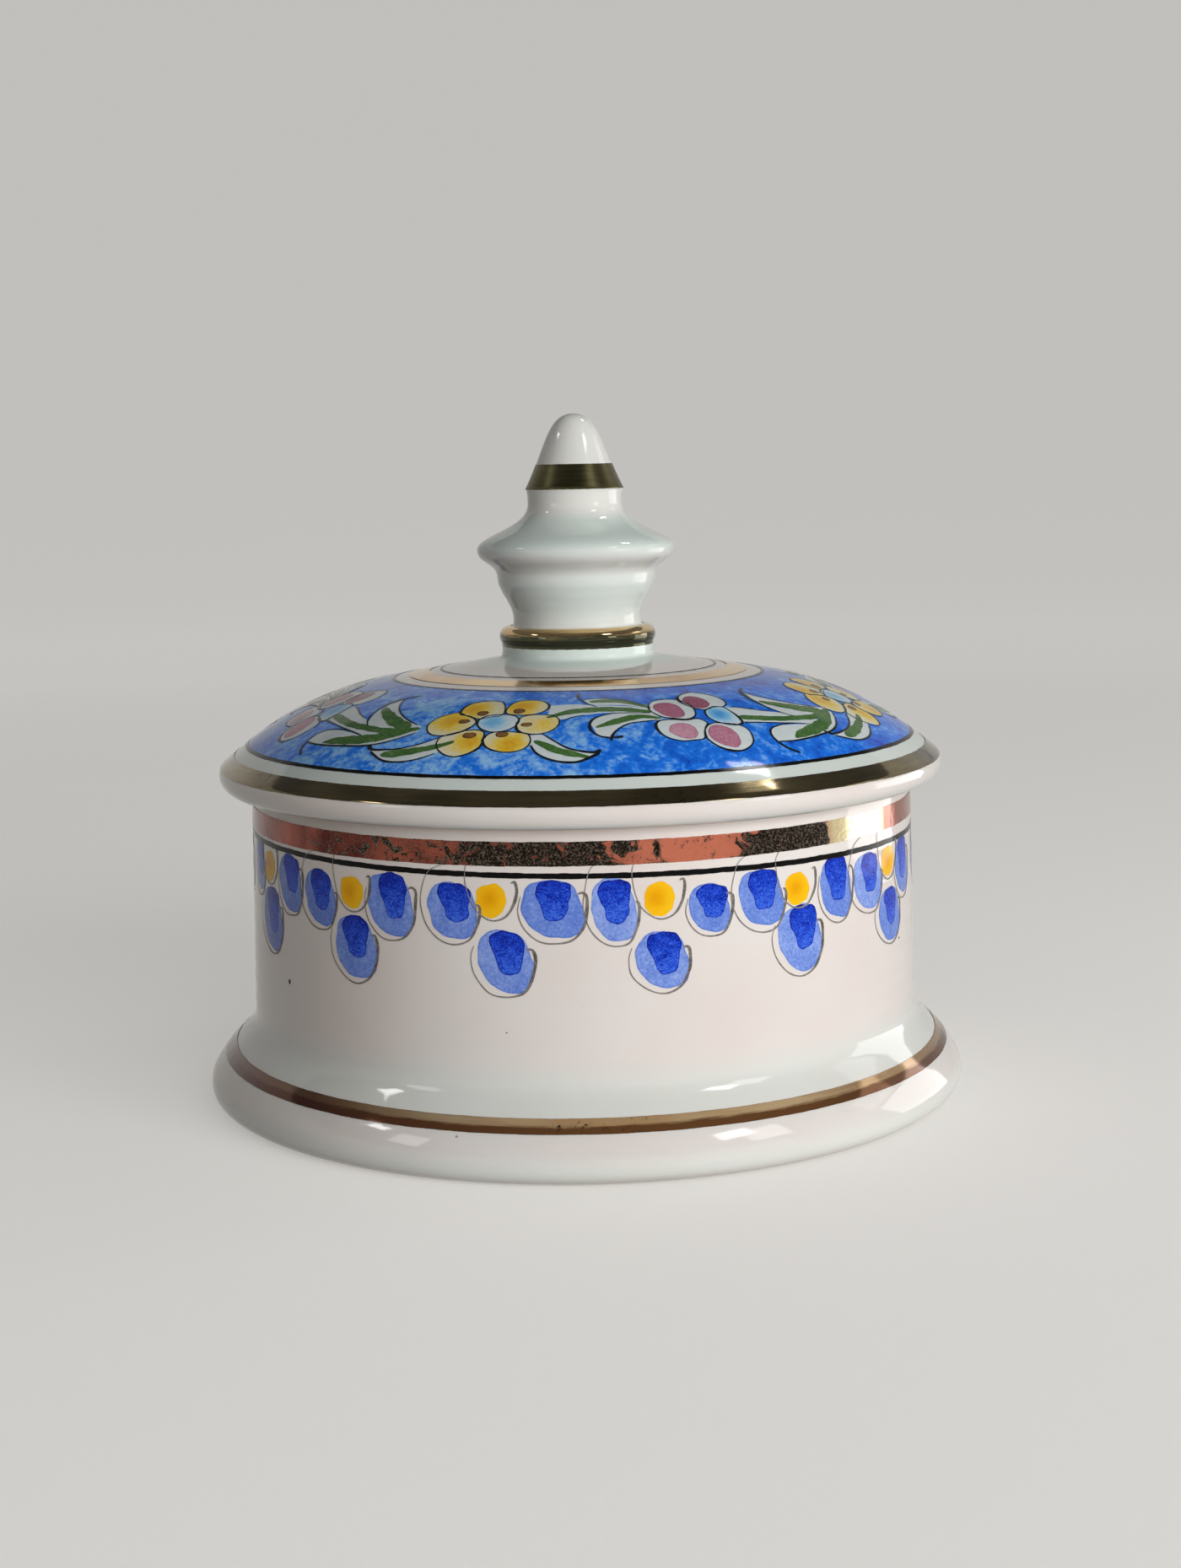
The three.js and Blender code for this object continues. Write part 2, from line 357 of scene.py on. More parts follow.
def thrown(turns, height):
    """How far a hand-thrown wall strays from true, in millimetres."""
    oval = OVAL_STRAY * np.cos(2 * turns - 1.3)
    lobed = LOBED_STRAY * np.cos(3 * turns + 0.7 + height / 40)
    return oval + lobed + RIDGE_HEIGHT * np.sin(2 * math.pi * height / RIDGE_SPACING)


def carry(piece, name, values):
    """Gives every point of a mesh a value that its finish can read."""
    made = piece.data.attributes.new(name, "FLOAT", "POINT")
    made.data.foreach_set("value", np.asarray(values, np.float32))


def places(piece):
    """The points of a mesh in millimetres, one row each."""
    flat = np.empty(len(piece.data.vertices) * 3)
    piece.data.vertices.foreach_get("co", flat)
    return flat.reshape(-1, 3) / MM


def where(piece):
    """Radius and height of each point of a mesh, in millimetres."""
    x, y, z = places(piece).T
    return np.hypot(x, y), z


def between(value, low, high, soft):
    """1 inside a span, 0 outside it, with soft ends."""
    return np.clip((value - low) / soft + 0.5, 0, 1) * np.clip((high - value) / soft + 0.5, 0, 1)


def glaze_relief(finish):
    """Orange peel and slow waves of a dipped glaze, the same under and over the painting."""
    waves = finish.noise(7, detail=1.0)
    peel = finish.noise(1.3, detail=2.0)
    height = finish.maths("MULTIPLY_ADD", peel, 0.12, waves)
    return finish.relief(height, 0.055)


def white_glaze(name):
    """Glossy tin-white glaze: faint warm clouds, cooler where it is thick, brown specks, bare clay."""
    finish = Finish(name)
    clouds = finish.fitted(finish.noise(26, detail=2.0), 0.35, 0.7)
    body = finish.mix(clouds, GLAZE_WHITE, GLAZE_WARM)
    body = finish.mix(finish.mark("thick"), body, GLAZE_THICK)
    cells = finish.tree.nodes.new("ShaderNodeTexVoronoi")
    cells.inputs["Scale"].default_value = 1 / (SPECK_SPACING * MM)
    finish.feed(cells.inputs["Vector"], finish.place())
    draw = finish.node("ShaderNodeSeparateColor", Color=cells.outputs["Color"])
    chosen = finish.fitted(draw, SPECK_SCARCITY, SPECK_SCARCITY + 0.02)
    speck = finish.maths("MULTIPLY", chosen, finish.fitted(cells.outputs["Distance"], 0.035, 0.055, 1.0, 0.0))
    body = finish.mix(finish.maths("MULTIPLY", speck, 0.75), body, SPECK_BROWN)
    bare = finish.mark("bare")
    clay = finish.mix(finish.noise(0.7), *BARE_CLAY)
    finish.set(
        Base_Color=finish.mix(bare, body, clay),
        Roughness=finish.fitted(bare, 0, 1, 0.06, 0.82),
        Normal=glaze_relief(finish))
    return finish


def crisp(piece):
    """Keeps real edges crisp on an otherwise smooth piece."""
    piece.data.set_sharp_from_angle(angle=math.radians(CRISP_ANGLE))


ring_inner = FOOT_RING_OUTER_RADIUS - FOOT_RING_WIDTH
foot_edge = FOOT_RADIUS - FOOT_RING_OUTER_RADIUS
floor_height = FOOT_RECESS_DEPTH + FLOOR_THICKNESS
jar_outside = [
    *arc(FOOT_RING_OUTER_RADIUS, FOOT_WIDEST_HEIGHT, foot_edge, FOOT_WIDEST_HEIGHT, -90, 0, 14),
    *sweep(
        (FOOT_RADIUS, FOOT_WIDEST_HEIGHT), (FOOT_RADIUS, FOOT_WIDEST_HEIGHT + LEDGE_SHOULDER_FULLNESS),
        (WALL_FOOT_RADIUS, LEDGE_TOP_HEIGHT - LEDGE_NECK_FULLNESS), (WALL_FOOT_RADIUS, LEDGE_TOP_HEIGHT), 48),
    *arc(WALL_RIM_RADIUS - RIM_ROUNDING, JAR_HEIGHT - RIM_ROUNDING, RIM_ROUNDING, RIM_ROUNDING, 0, 90, 6),
]
jar_profile = [
    (0, FOOT_RECESS_DEPTH),
    (ring_inner - FOOT_RECESS_DRAFT, FOOT_RECESS_DEPTH),
    (ring_inner, 0),
    *jar_outside,
    *arc(MOUTH_RADIUS + RIM_ROUNDING, JAR_HEIGHT - RIM_ROUNDING, RIM_ROUNDING, RIM_ROUNDING, 90, 180, 6),
    *arc(MOUTH_RADIUS - FLOOR_CORNER_RADIUS, floor_height + FLOOR_CORNER_RADIUS,
         FLOOR_CORNER_RADIUS, FLOOR_CORNER_RADIUS, 0, -90, 14),
    (0, floor_height),
]
jar = turned("jar_shell", filled(jar_profile, JAR_POINT_GAP), JAR_SEGMENTS, thrown)
crisp(jar)
radius, height = where(jar)
on_seat = between(radius, MOUTH_RADIUS + 0.3, WALL_RIM_RADIUS - 0.5, 0.5) * (height > JAR_HEIGHT - 0.2)
on_ground = between(radius, ring_inner - 0.6, FOOT_RING_OUTER_RADIUS + 0.9, 0.5) * (height < 0.5)
carry(jar, "bare", np.maximum(on_seat, on_ground))
outside = radius > MOUTH_RADIUS + 1
in_hollow = between(height, THICK_GLAZE_FROM, LEDGE_TOP_HEIGHT + 0.8, 4)
at_foot = between(height, 0.5, 4, 3)
carry(jar, "thick", 0.5 * in_hollow * outside + 0.5 * at_foot * outside)
jar.data.materials.append(white_glaze("jar_white_glaze").material)
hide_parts("jar_body")
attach(jar, "jar")


# Gilding of the jar
# Two bands of burnt gold lustre, laid with a brush while the jar turned on a wheel: one over the
# ledge, one under the rim. The lustre is thin, so it is mottled and a little frayed at its edges.
FOOT_GOLD_LOW = (57.75, 7.05)
FOOT_GOLD_HIGH = (55.95, 8.9)
RIM_GOLD_LOW = 43.5
RIM_GOLD_HIGH = 46.9
LEDGE_GOLD = ("#ffe0b0", "#dfb684")
# The ledge band's brown lower-half colour is painted shade, and its maroon colour is a painted dark
# reflection on one side.
LEDGE_GOLD_SHADED_UNDERSIDE = "#855a35"
LEDGE_GOLD_PAINTED_DARK_REFLECTION = "#4e281f"
# The rim's two colours are the bright and dark ends of a painted reflection round the ring.
RIM_GOLD_LIT_AND_SHADED = ("#d27b62", "#5a2824")
RIM_BURNT_SPECK = "#85766a"
# A pale painted highlight on one stretch of the rim band.
RIM_PAINTED_HIGHLIGHT = "#f5e3b6"
GOLD_BURNT = "#241f18"
GOLD_LIFT = 0.07
RUN_STEP = 0.1


class Side:
    """The outside of a turned piece, which painted layers follow: a place for every angle and run.

    It knows the body that it moves with and keeps the name of a slot, which nothing here gives its paint.
    """

    def __init__(self, profile, wander, body, slot, base=0.0):
        radius, height = np.array(profile).T
        run = np.concatenate([[0], np.cumsum(np.hypot(np.diff(radius), np.diff(height)))])
        self.run = np.arange(0, run[-1], RUN_STEP)
        self.radius = np.interp(self.run, run, radius)
        self.height = np.interp(self.run, run, height)
        slope = np.hypot(np.gradient(self.radius), np.gradient(self.height))
        self.out = np.gradient(self.height) / slope
        self.rise = -np.gradient(self.radius) / slope
        self.wander, self.body, self.slot, self.base = wander, body, slot, base

    def run_at(self, radius, height):
        """How far along the outside the nearest point to this radius and height lies."""
        return float(self.run[np.argmin(np.hypot(self.radius - radius, self.height - height))])

    def place(self, degrees, run, lift):
        """Points and facings at these angles and runs, lifted off the surface by a film's thickness."""
        turns = np.radians(degrees)
        radius, height, out, rise = [
            np.interp(run, self.run, values) for values in (self.radius, self.height, self.out, self.rise)]
        reach = radius + self.wander(turns, height) + out * lift
        points = np.stack([
            reach * np.sin(turns), -reach * np.cos(turns), height + rise * lift + self.base], -1) * MM
        facings = np.stack([out * np.sin(turns), -out * np.cos(turns), rise], -1)
        return points.reshape(-1, 3), facings.reshape(-1, 3)


def waver(along, seed, pace=1.0):
    """A smooth irregular line between about -1 and 1, such as the edge that a brush leaves."""
    chance = random.Random(seed)
    total = 0 * along
    for octave in (1, 2.3, 4.9):
        total = total + np.sin(along * octave * pace + chance.uniform(0, 6.28)) / octave
    return total / 1.4


def skin(name, side, degrees, runs, faces, lift, values, finish):
    """A painted film on a side: one open skin that follows the surface, with its facings kept."""
    body, slot = side.body, side.slot
    points, facings = side.place(np.asarray(degrees), np.asarray(runs), lift)
    film = new_object(name, [tuple(p) for p in points], faces)
    film.data.normals_split_custom_set_from_vertices([tuple(f) for f in facings])
    for key, given in values.items():
        carry(film, key, given)
    film.data.materials.append(finish.material)
    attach(film, body)
    return film


def grid(rows, columns, closed, first=0):
    """The four corners of each face between rows of points, which may close into rings."""
    corners = []
    for row in range(rows - 1):
        here, beyond = first + row * columns, first + (row + 1) * columns
        for i in range(columns if closed else columns - 1):
            j = (i + 1) % columns
            corners.append((here + i, here + j, beyond + j, beyond + i))
    return corners


def band(name, side, low, high, finish, lift, ragged, seed, drift=0.0, columns=1440, rows=7):
    """A ring of paint between two runs, its edges wavering with the brush and the wheel."""
    degrees = np.arange(columns) * 360 / columns
    turns = np.radians(degrees)
    slow = drift * np.sin(turns)
    lower = low + slow + ragged * waver(turns, seed, 37) + 0.6 * ragged * waver(turns, seed + 1, 151)
    upper = high + slow + ragged * waver(turns, seed + 2, 41) + 0.6 * ragged * waver(turns, seed + 3, 157)
    across = np.linspace(0, 1, rows)[:, None]
    runs = lower + (upper - lower) * across
    angles = np.broadcast_to(degrees, runs.shape)
    marks = {
        "edge": np.broadcast_to(np.abs(across * 2 - 1), runs.shape).ravel(),
        "across": np.broadcast_to(across, runs.shape).ravel()}
    return skin(name, side, angles, runs, grid(rows, columns, closed=True), lift, marks, finish)


def lustre(name, colours, wear=0.1, frayed=0.1, under=None, painted_dark_reflection_colour=None, glow=0.0, metal=1.0, rough=0.08):
    """Gold lustre in its bright and dull colours, with the fine lines that the brush left as it turned.

    Wear says how much of it is mottled, frayed how far that eats into its edges, under is the colour of
    painted shade on its lower half, smoked the colour of a painted dark reflection on one side, and glow how
    far the bright colour is laid on at grazing angles as a painted shine.
    """
    finish = Finish(name)
    swirl = finish.noise(2.4, detail=5.0, roughness=0.6, distortion=2.4)
    grain = finish.noise(0.4, detail=4.0, roughness=0.75)
    slow = finish.noise(16, detail=1.0)
    lines = finish.noise(0.35, detail=3.0, roughness=0.7, place=finish.place((0.06, 0.06, 1)))
    rubbed = finish.maths("MULTIPLY_ADD", grain, 0.45, swirl)
    rubbed = finish.maths("MULTIPLY_ADD", slow, 0.9, rubbed)
    limit = 1.5 - 0.42 * wear
    worn = finish.fitted(rubbed, limit, limit + 0.09)
    outward = finish.maths("MULTIPLY_ADD", grain, 0.35, finish.mark("edge"))
    worn = finish.maths("MAXIMUM", worn, finish.fitted(outward, 1.28 - frayed, 1.4 - frayed))
    bright, dull = colours
    tone = finish.maths("MULTIPLY_ADD", lines, 0.5, slow)
    sound = finish.mix(finish.fitted(tone, 0.58, 0.92), bright, dull)
    # Painted shade: the lower half of the band goes over to the under colour.
    if under:
        level = finish.maths("MULTIPLY_ADD", finish.off_middle(lines), 0.5, finish.mark("across"))
        sound = finish.mix(finish.fitted(level, 0.42, 0.6), under, sound)
    # Painted dark reflection on one side, by the share that each point carries.
    if painted_dark_reflection_colour:
        sound = finish.mix(finish.mark("painted_dark_reflection"), sound, painted_dark_reflection_colour)
    # Painted shine: the bright colour laid on at grazing angles.
    if glow:
        facing = finish.node("ShaderNodeLayerWeight", output=1, Blend=0.4)
        sound = finish.mix(finish.maths("MULTIPLY", facing, glow), sound, bright)
    height = finish.maths("MULTIPLY_ADD", lines, 0.05, finish.noise(5, detail=1.0))
    finish.set(
        Base_Color=finish.mix(worn, sound, GOLD_BURNT), Metallic=metal,
        Roughness=finish.fitted(worn, 0, 1, rough, 0.34), Normal=finish.relief(height, 0.05))
    return finish


# Shares at angles round the jar. Of the rim's lustre: how much is burnt, how bright its painted reflection
# is, how much of it the kiln drew into thin worm-like lines, and how much is a pale painted highlight. Of the
# ledge's lustre: how much painted dark reflection it takes.
RIM_BURNT = [
    (-90, 0.1), (-55, 0.1), (-48, 0.3), (-30, 0.4), (-20, 0.54), (-12, 0.68), (-6, 0.78), (3, 0.78),
    (8, 0.62), (11, 0.36), (24, 0.34), (28, 0.66), (33, 0.9), (41, 1.0), (44, 0.12), (88, 0.15),
    (112, 0.5), (135, 0.82), (158, 0.3), (180, 0.55), (205, 0.88), (228, 0.4), (250, 0.2)]
RIM_PAINTED_REFLECTION = [
    (-90, 0.1), (-20, 0.2), (-8, 0.4), (4, 0.7), (14, 1.0), (30, 1.0), (60, 0.5), (110, 0.4), (180, 0.7),
    (240, 0.3)]
RIM_WORMS = [
    (-75, 0.0), (-52, 0.3), (-45, 1.0), (-25, 1.0), (-14, 0.3), (12, 0.0), (100, 0.0), (150, 1.0),
    (230, 0.5)]
RIM_PAINTED_HIGHLIGHT_SHARE = [(41, 0), (44, 1), (57, 1), (59.5, 0), (220, 0)]
LEDGE_PAINTED_DARK_REFLECTION = [
    (-90, 1.0), (-45, 0.9), (-10, 0.15), (0, 0.0), (32, 0.0), (60, 0.6), (90, 0.7), (150, 0.1),
    (220, 0.5)]


def burnt_lustre(name):
    """Copper lustre that the kiln burnt in places: black and granular there, lined between. Its colour runs
    from dull to bright round the ring as a painted reflection, with a pale painted highlight on one stretch.
    """
    finish = Finish(name)
    swirl = finish.noise(3.0, detail=4.0, roughness=0.55, distortion=1.4)
    grain = finish.noise(0.3, detail=3.0, roughness=0.7)
    gritty = finish.maths("MULTIPLY_ADD", grain, 0.3, swirl)
    burnt = finish.fitted(finish.maths("MULTIPLY_ADD", finish.mark("burnt"), 0.5, gritty), 0.9, 0.95)
    wave = finish.noise(2.2, detail=1.5, distortion=1.1)
    line = finish.fitted(finish.maths("ABSOLUTE", finish.off_middle(wave)), 0.008, 0.022, 1.0, 0.0)
    dark = finish.maths("MAXIMUM", burnt, finish.maths("MULTIPLY", line, finish.mark("worms")))
    bright, dull = RIM_GOLD_LIT_AND_SHADED
    cloud = finish.fitted(finish.noise(7, detail=2.0), 0.3, 0.7, -0.2, 0.2)
    # Painted reflection: dull to bright by angle round the ring, with a random cloud.
    sound = finish.mix(finish.maths("ADD", finish.mark("painted_reflection"), cloud), dull, bright)
    # Painted highlight: the pale gold that the pale share lays on one stretch of the ring.
    sound = finish.mix(finish.mark("pale"), sound, RIM_PAINTED_HIGHLIGHT)
    soot = finish.mix(finish.fitted(grain, 0.48, 0.66), GOLD_BURNT, RIM_BURNT_SPECK)
    height = finish.maths("MULTIPLY_ADD", dark, finish.maths("MULTIPLY", grain, 0.6), swirl)
    finish.set(
        Base_Color=finish.mix(dark, sound, soot), Metallic=1.0,
        Roughness=finish.fitted(dark, 0, 1, 0.12, 0.4), Normal=finish.relief(height, 0.05))
    return finish


def around(points, piece):
    """Values given at angles round the ring, at each point of a piece."""
    x, y, _ = places(piece).T
    angles, values = np.array(points).T
    return np.interp(np.degrees(np.arctan2(x, -y)), angles, values, period=360)


jar_side = Side(jar_outside, thrown, "jar", "jar_glaze")
# The ledge's lustre is darkened by painted shade on its lower half and by a painted dark reflection on one
# side.
ledge_lustre = lustre(
    "ledge_lustre", LEDGE_GOLD, wear=0.15, frayed=0.16, under=LEDGE_GOLD_SHADED_UNDERSIDE, painted_dark_reflection_colour=LEDGE_GOLD_PAINTED_DARK_REFLECTION,
    metal=0.6)
ledge_gilt = band(
    "jar_gilt_ledge", jar_side, jar_side.run_at(*FOOT_GOLD_LOW), jar_side.run_at(*FOOT_GOLD_HIGH),
    ledge_lustre, GOLD_LIFT, ragged=0.02, seed=11, rows=13)
# Painted dark reflection: its share at each angle round the ledge.
carry(ledge_gilt, "painted_dark_reflection", around(LEDGE_PAINTED_DARK_REFLECTION, ledge_gilt))
rim_gilt = band(
    "jar_gilt_rim", jar_side, jar_side.run_at(WALL_RIM_RADIUS, RIM_GOLD_LOW),
    jar_side.run_at(WALL_RIM_RADIUS, RIM_GOLD_HIGH), burnt_lustre("rim_lustre"), GOLD_LIFT,
    ragged=0.03, seed=21)
# The rim's painted reflection and painted highlight are shares by angle, like its burnt patches and worm
# lines.
for trait, shares in (
        ("burnt", RIM_BURNT), ("worms", RIM_WORMS), ("painted_reflection", RIM_PAINTED_REFLECTION), ("pale", RIM_PAINTED_HIGHLIGHT_SHARE)):
    carry(rim_gilt, trait, around(shares, rim_gilt))


# Frieze of the jar
# Under a black line run fourteen groups of brush dabs: a yellow dot between two blue petals and a
# third petal below. Each petal is one wet dab with a darker one let into it, then a pen loop.
FRIEZE_LINE_HEIGHT = 42.1
FRIEZE_LINE_WIDTH = 0.78
FRIEZE_LINE_DRIFT = -0.6
FRIEZE_GROUPS = 14
DOT_WIDTH = 4.5
HEART_WIDTH = 5.1
FRIEZE_MIDDLE_RADIUS = 52.4
PAINT_SHINE = 0.1
PAINT_ROUGHNESS = 0.07
WASH_LIFT = 0.02
DOT_LIFT = 0.03
HEART_LIFT = 0.036
FRIEZE_LINE_LIFT = 0.045
PEN_LIFT = 0.052
TOUCH_LIFT = 0.0012
TOUCH_LEVELS = 12
PETAL_WASH = ("#a9bdf0", "#6f8ddc", "#4263c2")
PETAL_HEART = ("#4674e6", "#1742ce", "#04188a")
DOT_YELLOW = ("#ffcb1c", "#f5ae00", "#dc9200")
SPECK_DARK = ("#8a7466", "#5c4a40", "#3a2e28")
PEN_GREY = ("#a59e98", "#5c5651", "#26221f")
LINE_BLACK = ("#24201e", "#0c0b0a", "#060505")
PEN_PRESS = 0.84

# Each group that faces the front, as the painter laid it: the dot's angle and height, then the
# angle, height, width and length of the left, right and hanging petals
FRONT_GROUPS = [
    ((-64.5, 39.4), (-70.3, 38.9, 6.0, 7.8), (-55.8, 38.0, 7.1, 8.4), (-63.4, 31.6, 8.3, 9.3)),
    ((-39.3, 38.4), (-46.9, 37.0, 7.4, 8.1), (-31.4, 37.4, 8.0, 9.0), (-38.6, 30.6, 8.0, 9.1)),
    ((-14.2, 38.7), (-20.4, 37.1, 7.6, 7.9), (-4.6, 37.5, 8.8, 8.2), (-12.0, 30.1, 7.9, 8.7)),
    ((11.6, 38.5), (4.7, 37.3, 6.5, 8.6), (19.7, 36.7, 6.4, 6.8), (12.0, 29.9, 7.6, 8.0)),
    ((35.5, 37.9), (28.8, 37.3, 7.6, 8.2), (44.4, 37.2, 7.1, 8.9), (36.1, 30.8, 8.1, 9.6)),
    ((60.5, 38.7), (53.3, 36.8, 8.1, 8.3), (68.0, 37.0, 7.4, 8.6), (61.2, 30.6, 8.5, 8.0)),
]

# Outlines in parts of a half width and half length. A petal's dab is pulled to the lower right,
# and the darker dab that is let into its top narrows downwards.
PETAL_SHAPE = [
    (-0.99, 0.3), (-0.82, 0.76), (-0.36, 0.98), (0.2, 0.98), (0.62, 0.74), (0.88, 0.26), (1.0, -0.28),
    (0.88, -0.76), (0.44, -1.0), (-0.16, -0.96), (-0.66, -0.68), (-0.94, -0.2)]
HEART_SHAPE = [
    (-0.98, 0.46), (-0.78, 0.88), (-0.26, 1.0), (0.34, 0.98), (0.84, 0.8), (0.98, 0.36), (0.84, -0.12),
    (0.8, -0.52), (0.56, -0.9), (0.0, -1.0), (-0.44, -0.82), (-0.6, -0.34), (-0.84, 0.06)]
DOT_SHAPE = [
    (-0.98, 0.1), (-0.8, 0.72), (-0.2, 0.94), (0.36, 0.96), (0.86, 0.58), (1.0, 0.0), (0.78, -0.66),
    (0.2, -1.0), (-0.46, -0.92), (-0.88, -0.5)]

# Pen loops in the same parts, each point with the pen's width
LEFT_LOOP = [
    (-0.42, 1.62, 0.12), (-0.98, 1.32, 0.14), (-1.26, 0.7, 0.16), (-1.3, 0.05, 0.2), (-1.06, -0.6, 0.22),
    (-0.56, -1.04, 0.24), (0.04, -1.2, 0.26), (0.62, -1.04, 0.34), (0.96, -0.52, 0.46), (1.06, 0.0, 0.5),
    (1.02, 0.2, 0.42), (0.9, 0.24, 0.25)]
RIGHT_LOOP = [
    (-1.04, 0.46, 0.14), (-1.14, -0.1, 0.18), (-0.94, -0.66, 0.22), (-0.46, -1.08, 0.25),
    (0.1, -1.18, 0.28), (0.62, -1.02, 0.38), (0.96, -0.56, 0.46), (1.08, 0.0, 0.54), (1.06, 0.42, 0.5),
    (0.9, 0.56, 0.4), (0.76, 0.5, 0.24)]
HANGING_LOOP = [
    (-1.16, 0.5, 0.12), (-1.3, 0.08, 0.16), (-1.14, -0.5, 0.2), (-0.6, -1.0, 0.24), (0.06, -1.16, 0.28),
    (0.66, -0.94, 0.44), (0.98, -0.4, 0.52), (1.04, 0.1, 0.56), (0.96, 0.4, 0.5), (0.74, 0.42, 0.26)]
DOT_LOOP = [
    (-1.2, 2.7, 0.12), (-1.62, 2.0, 0.14), (-1.6, 1.0, 0.16), (-1.26, -0.24, 0.2), (-0.64, -0.96, 0.22),
    (0.1, -1.24, 0.26), (0.9, -1.0, 0.34), (1.42, -0.26, 0.46), (1.64, 0.6, 0.5), (1.54, 1.14, 0.42),
    (1.28, 1.08, 0.24)]


class Paint:
    """One colour on one side: its dabs and strokes are gathered, then laid as a single skin.

    Points are given by angle and mark. A mark is a height on the wall and a radius on the dome, and
    run_of turns it into a run along the side. Up is towards the rim on the wall and the knob on the dome.
    """

    def __init__(self, side, run_of, reach_of, up):
        self.side, self.run_of, self.reach_of, self.up = side, run_of, reach_of, up
        self.degrees, self.marks, self.faces, self.pigment, self.over = [], [], [], [], []

    def add(self, degrees, marks, faces, pigment):
        """Adds one touch of the brush, a hair above the ones before it so that they can cross."""
        first = sum(len(d) for d in self.degrees)
        degrees = np.asarray(degrees, float)
        self.over.append(np.full(degrees.size, len(self.over) % TOUCH_LEVELS * TOUCH_LIFT))
        self.degrees.append(degrees.ravel())
        self.marks.append(np.asarray(marks, float).ravel())
        self.pigment.append(np.broadcast_to(pigment, degrees.shape).ravel())
        self.faces += [tuple(first + i for i in face) for face in faces]

    def patch(self, outline, seed=0, tone=0.5, pool=0.35, rough=0.02, fade=0.0, drop=None, pool_width=0.3):
        """A painted patch inside a closed outline of angles and marks.

        Pigment gathers at its rim by pool. It thins by fade towards its lower end, or away from a
        drop, which is an angle, a mark, a spread in millimetres and how much pigment it adds.
        """
        knots = np.array([*outline, *outline[:3]], float)
        steps = np.linspace(0, 1, 7)[:-1, None]
        edge = np.concatenate([
            flowing(*four, steps) for four in zip(knots, knots[1:], knots[2:], knots[3:])])
        count = len(edge)
        middle = edge.mean(0)
        reach = float(self.reach_of(middle[1]))
        across = np.radians(edge[:, 0] - middle[0]) * reach
        upward = (edge[:, 1] - middle[1]) * self.up
        bearing = np.arctan2(upward, across)
        swell = 1 + rough * waver(bearing, seed, 2.0) + 0.7 * rough * waver(bearing, seed + 50, 9.0)
        span = float(np.hypot(across, upward).mean())
        rim = max(0.7, 1 - pool_width / span)
        shares = np.array([0.2, 0.4, 0.58, rim - 0.12, rim, (1 + rim) / 2, 1.0])
        x, y = np.outer(shares, across * swell).ravel(), np.outer(shares, upward * swell).ravel()
        x, y = np.concatenate([[0], x]), np.concatenate([[0], y])
        gathered = np.concatenate([[0], np.repeat(np.clip((shares - rim) / (1 - rim), 0, 1), count)])
        pigment = tone + pool * gathered + fade * y / span
        if drop:
            away = np.hypot(x - np.radians(drop[0] - middle[0]) * reach, y - (drop[1] - middle[1]) * self.up)
            pigment = pigment + drop[3] * np.exp(-(away / drop[2]) ** 2)
        faces = [(0, 1 + i, 1 + (i + 1) % count) for i in range(count)]
        faces += [(a, d, c, b) for a, b, c, d in grid(len(shares), count, closed=True, first=1)]
        ahead = np.roll(edge, -1, 0)
        if self.up * np.sum(edge[:, 0] * ahead[:, 1] - edge[:, 1] * ahead[:, 0]) < 0:
            faces = [face[::-1] for face in faces]
        self.add(middle[0] + np.degrees(x / reach), middle[1] + self.up * y, faces, pigment)

    def shape(self, degrees, mark, width, length, form, chance, **given):
        """A patch of a known form, put at an angle and mark in a given size, a little varied."""
        reach = float(self.reach_of(mark))
        self.patch([
            (degrees + math.degrees(x * width / 2 * chance.uniform(0.95, 1.05) / reach),
             mark + self.up * y * length / 2 * chance.uniform(0.95, 1.05)) for x, y in form],
            chance.randrange(1000), **given)

    def stroke(self, path, seed=0, tone=0.5, press=0.0, rows=3):
        """One pull of the brush or pen through points of angle, mark and width, round at its ends."""
        angle, mark, width = smooth(path, self.reach_of)
        reach = self.reach_of(mark)
        ahead_x = np.gradient(np.radians(angle)) * reach
        ahead_y = np.gradient(mark) * self.up
        length = np.hypot(ahead_x, ahead_y)
        left_x, left_y = -ahead_y / length, ahead_x / length
        run = np.cumsum(length)
        width = width * (1 + 0.1 * waver(run, seed, 2.2))
        from_end = np.minimum(run - run[0], run[-1] - run)
        width = width * np.sqrt(np.clip(from_end / (0.5 * width) + 0.04, 0, 1))
        shares = np.linspace(0.5, -0.5, rows)
        across = np.outer(shares, left_x * width)
        upward = np.outer(shares, left_y * width)
        marks = mark + self.up * upward
        angles = angle + np.degrees(across / self.reach_of(marks))
        faces = [(a, d, c, b) for a, b, c, d in grid(rows, len(angle), closed=False)]
        pigment = np.broadcast_to(tone + press * np.clip(width - 0.3, 0, 1), angles.shape)
        self.add(angles, marks, faces, pigment)

    def leaf(self, one_edge, other_edge, rows=5, columns=40):
        """A leaf between two edges, each a list of angles and marks that runs from stem to tip."""
        sides = []
        for edge in (one_edge, other_edge):
            angle, mark, _ = smooth([(a, m, 0) for a, m in edge], self.reach_of)
            even = np.linspace(0, len(angle) - 1, columns)
            sides.append((np.interp(even, range(len(angle)), angle), np.interp(even, range(len(mark)), mark)))
        shares = np.linspace(0, 1, rows)[:, None]
        angles, marks = [a + (b - a) * shares for a, b in zip(*sides)]
        faces = grid(rows, columns, closed=False)
        start, middle, across = (0, 0), (0, columns // 2), (rows - 1, columns // 2)
        turn_x = np.radians(angles[middle] - angles[start]) * marks[start]
        side_x = np.radians(angles[across] - angles[middle]) * marks[start]
        turn_y, side_y = marks[middle] - marks[start], marks[across] - marks[middle]
        if (turn_x * side_y - turn_y * side_x) * self.up < 0:
            faces = [face[::-1] for face in faces]
        self.add(angles, marks, faces, np.full(angles.shape, 0.4))

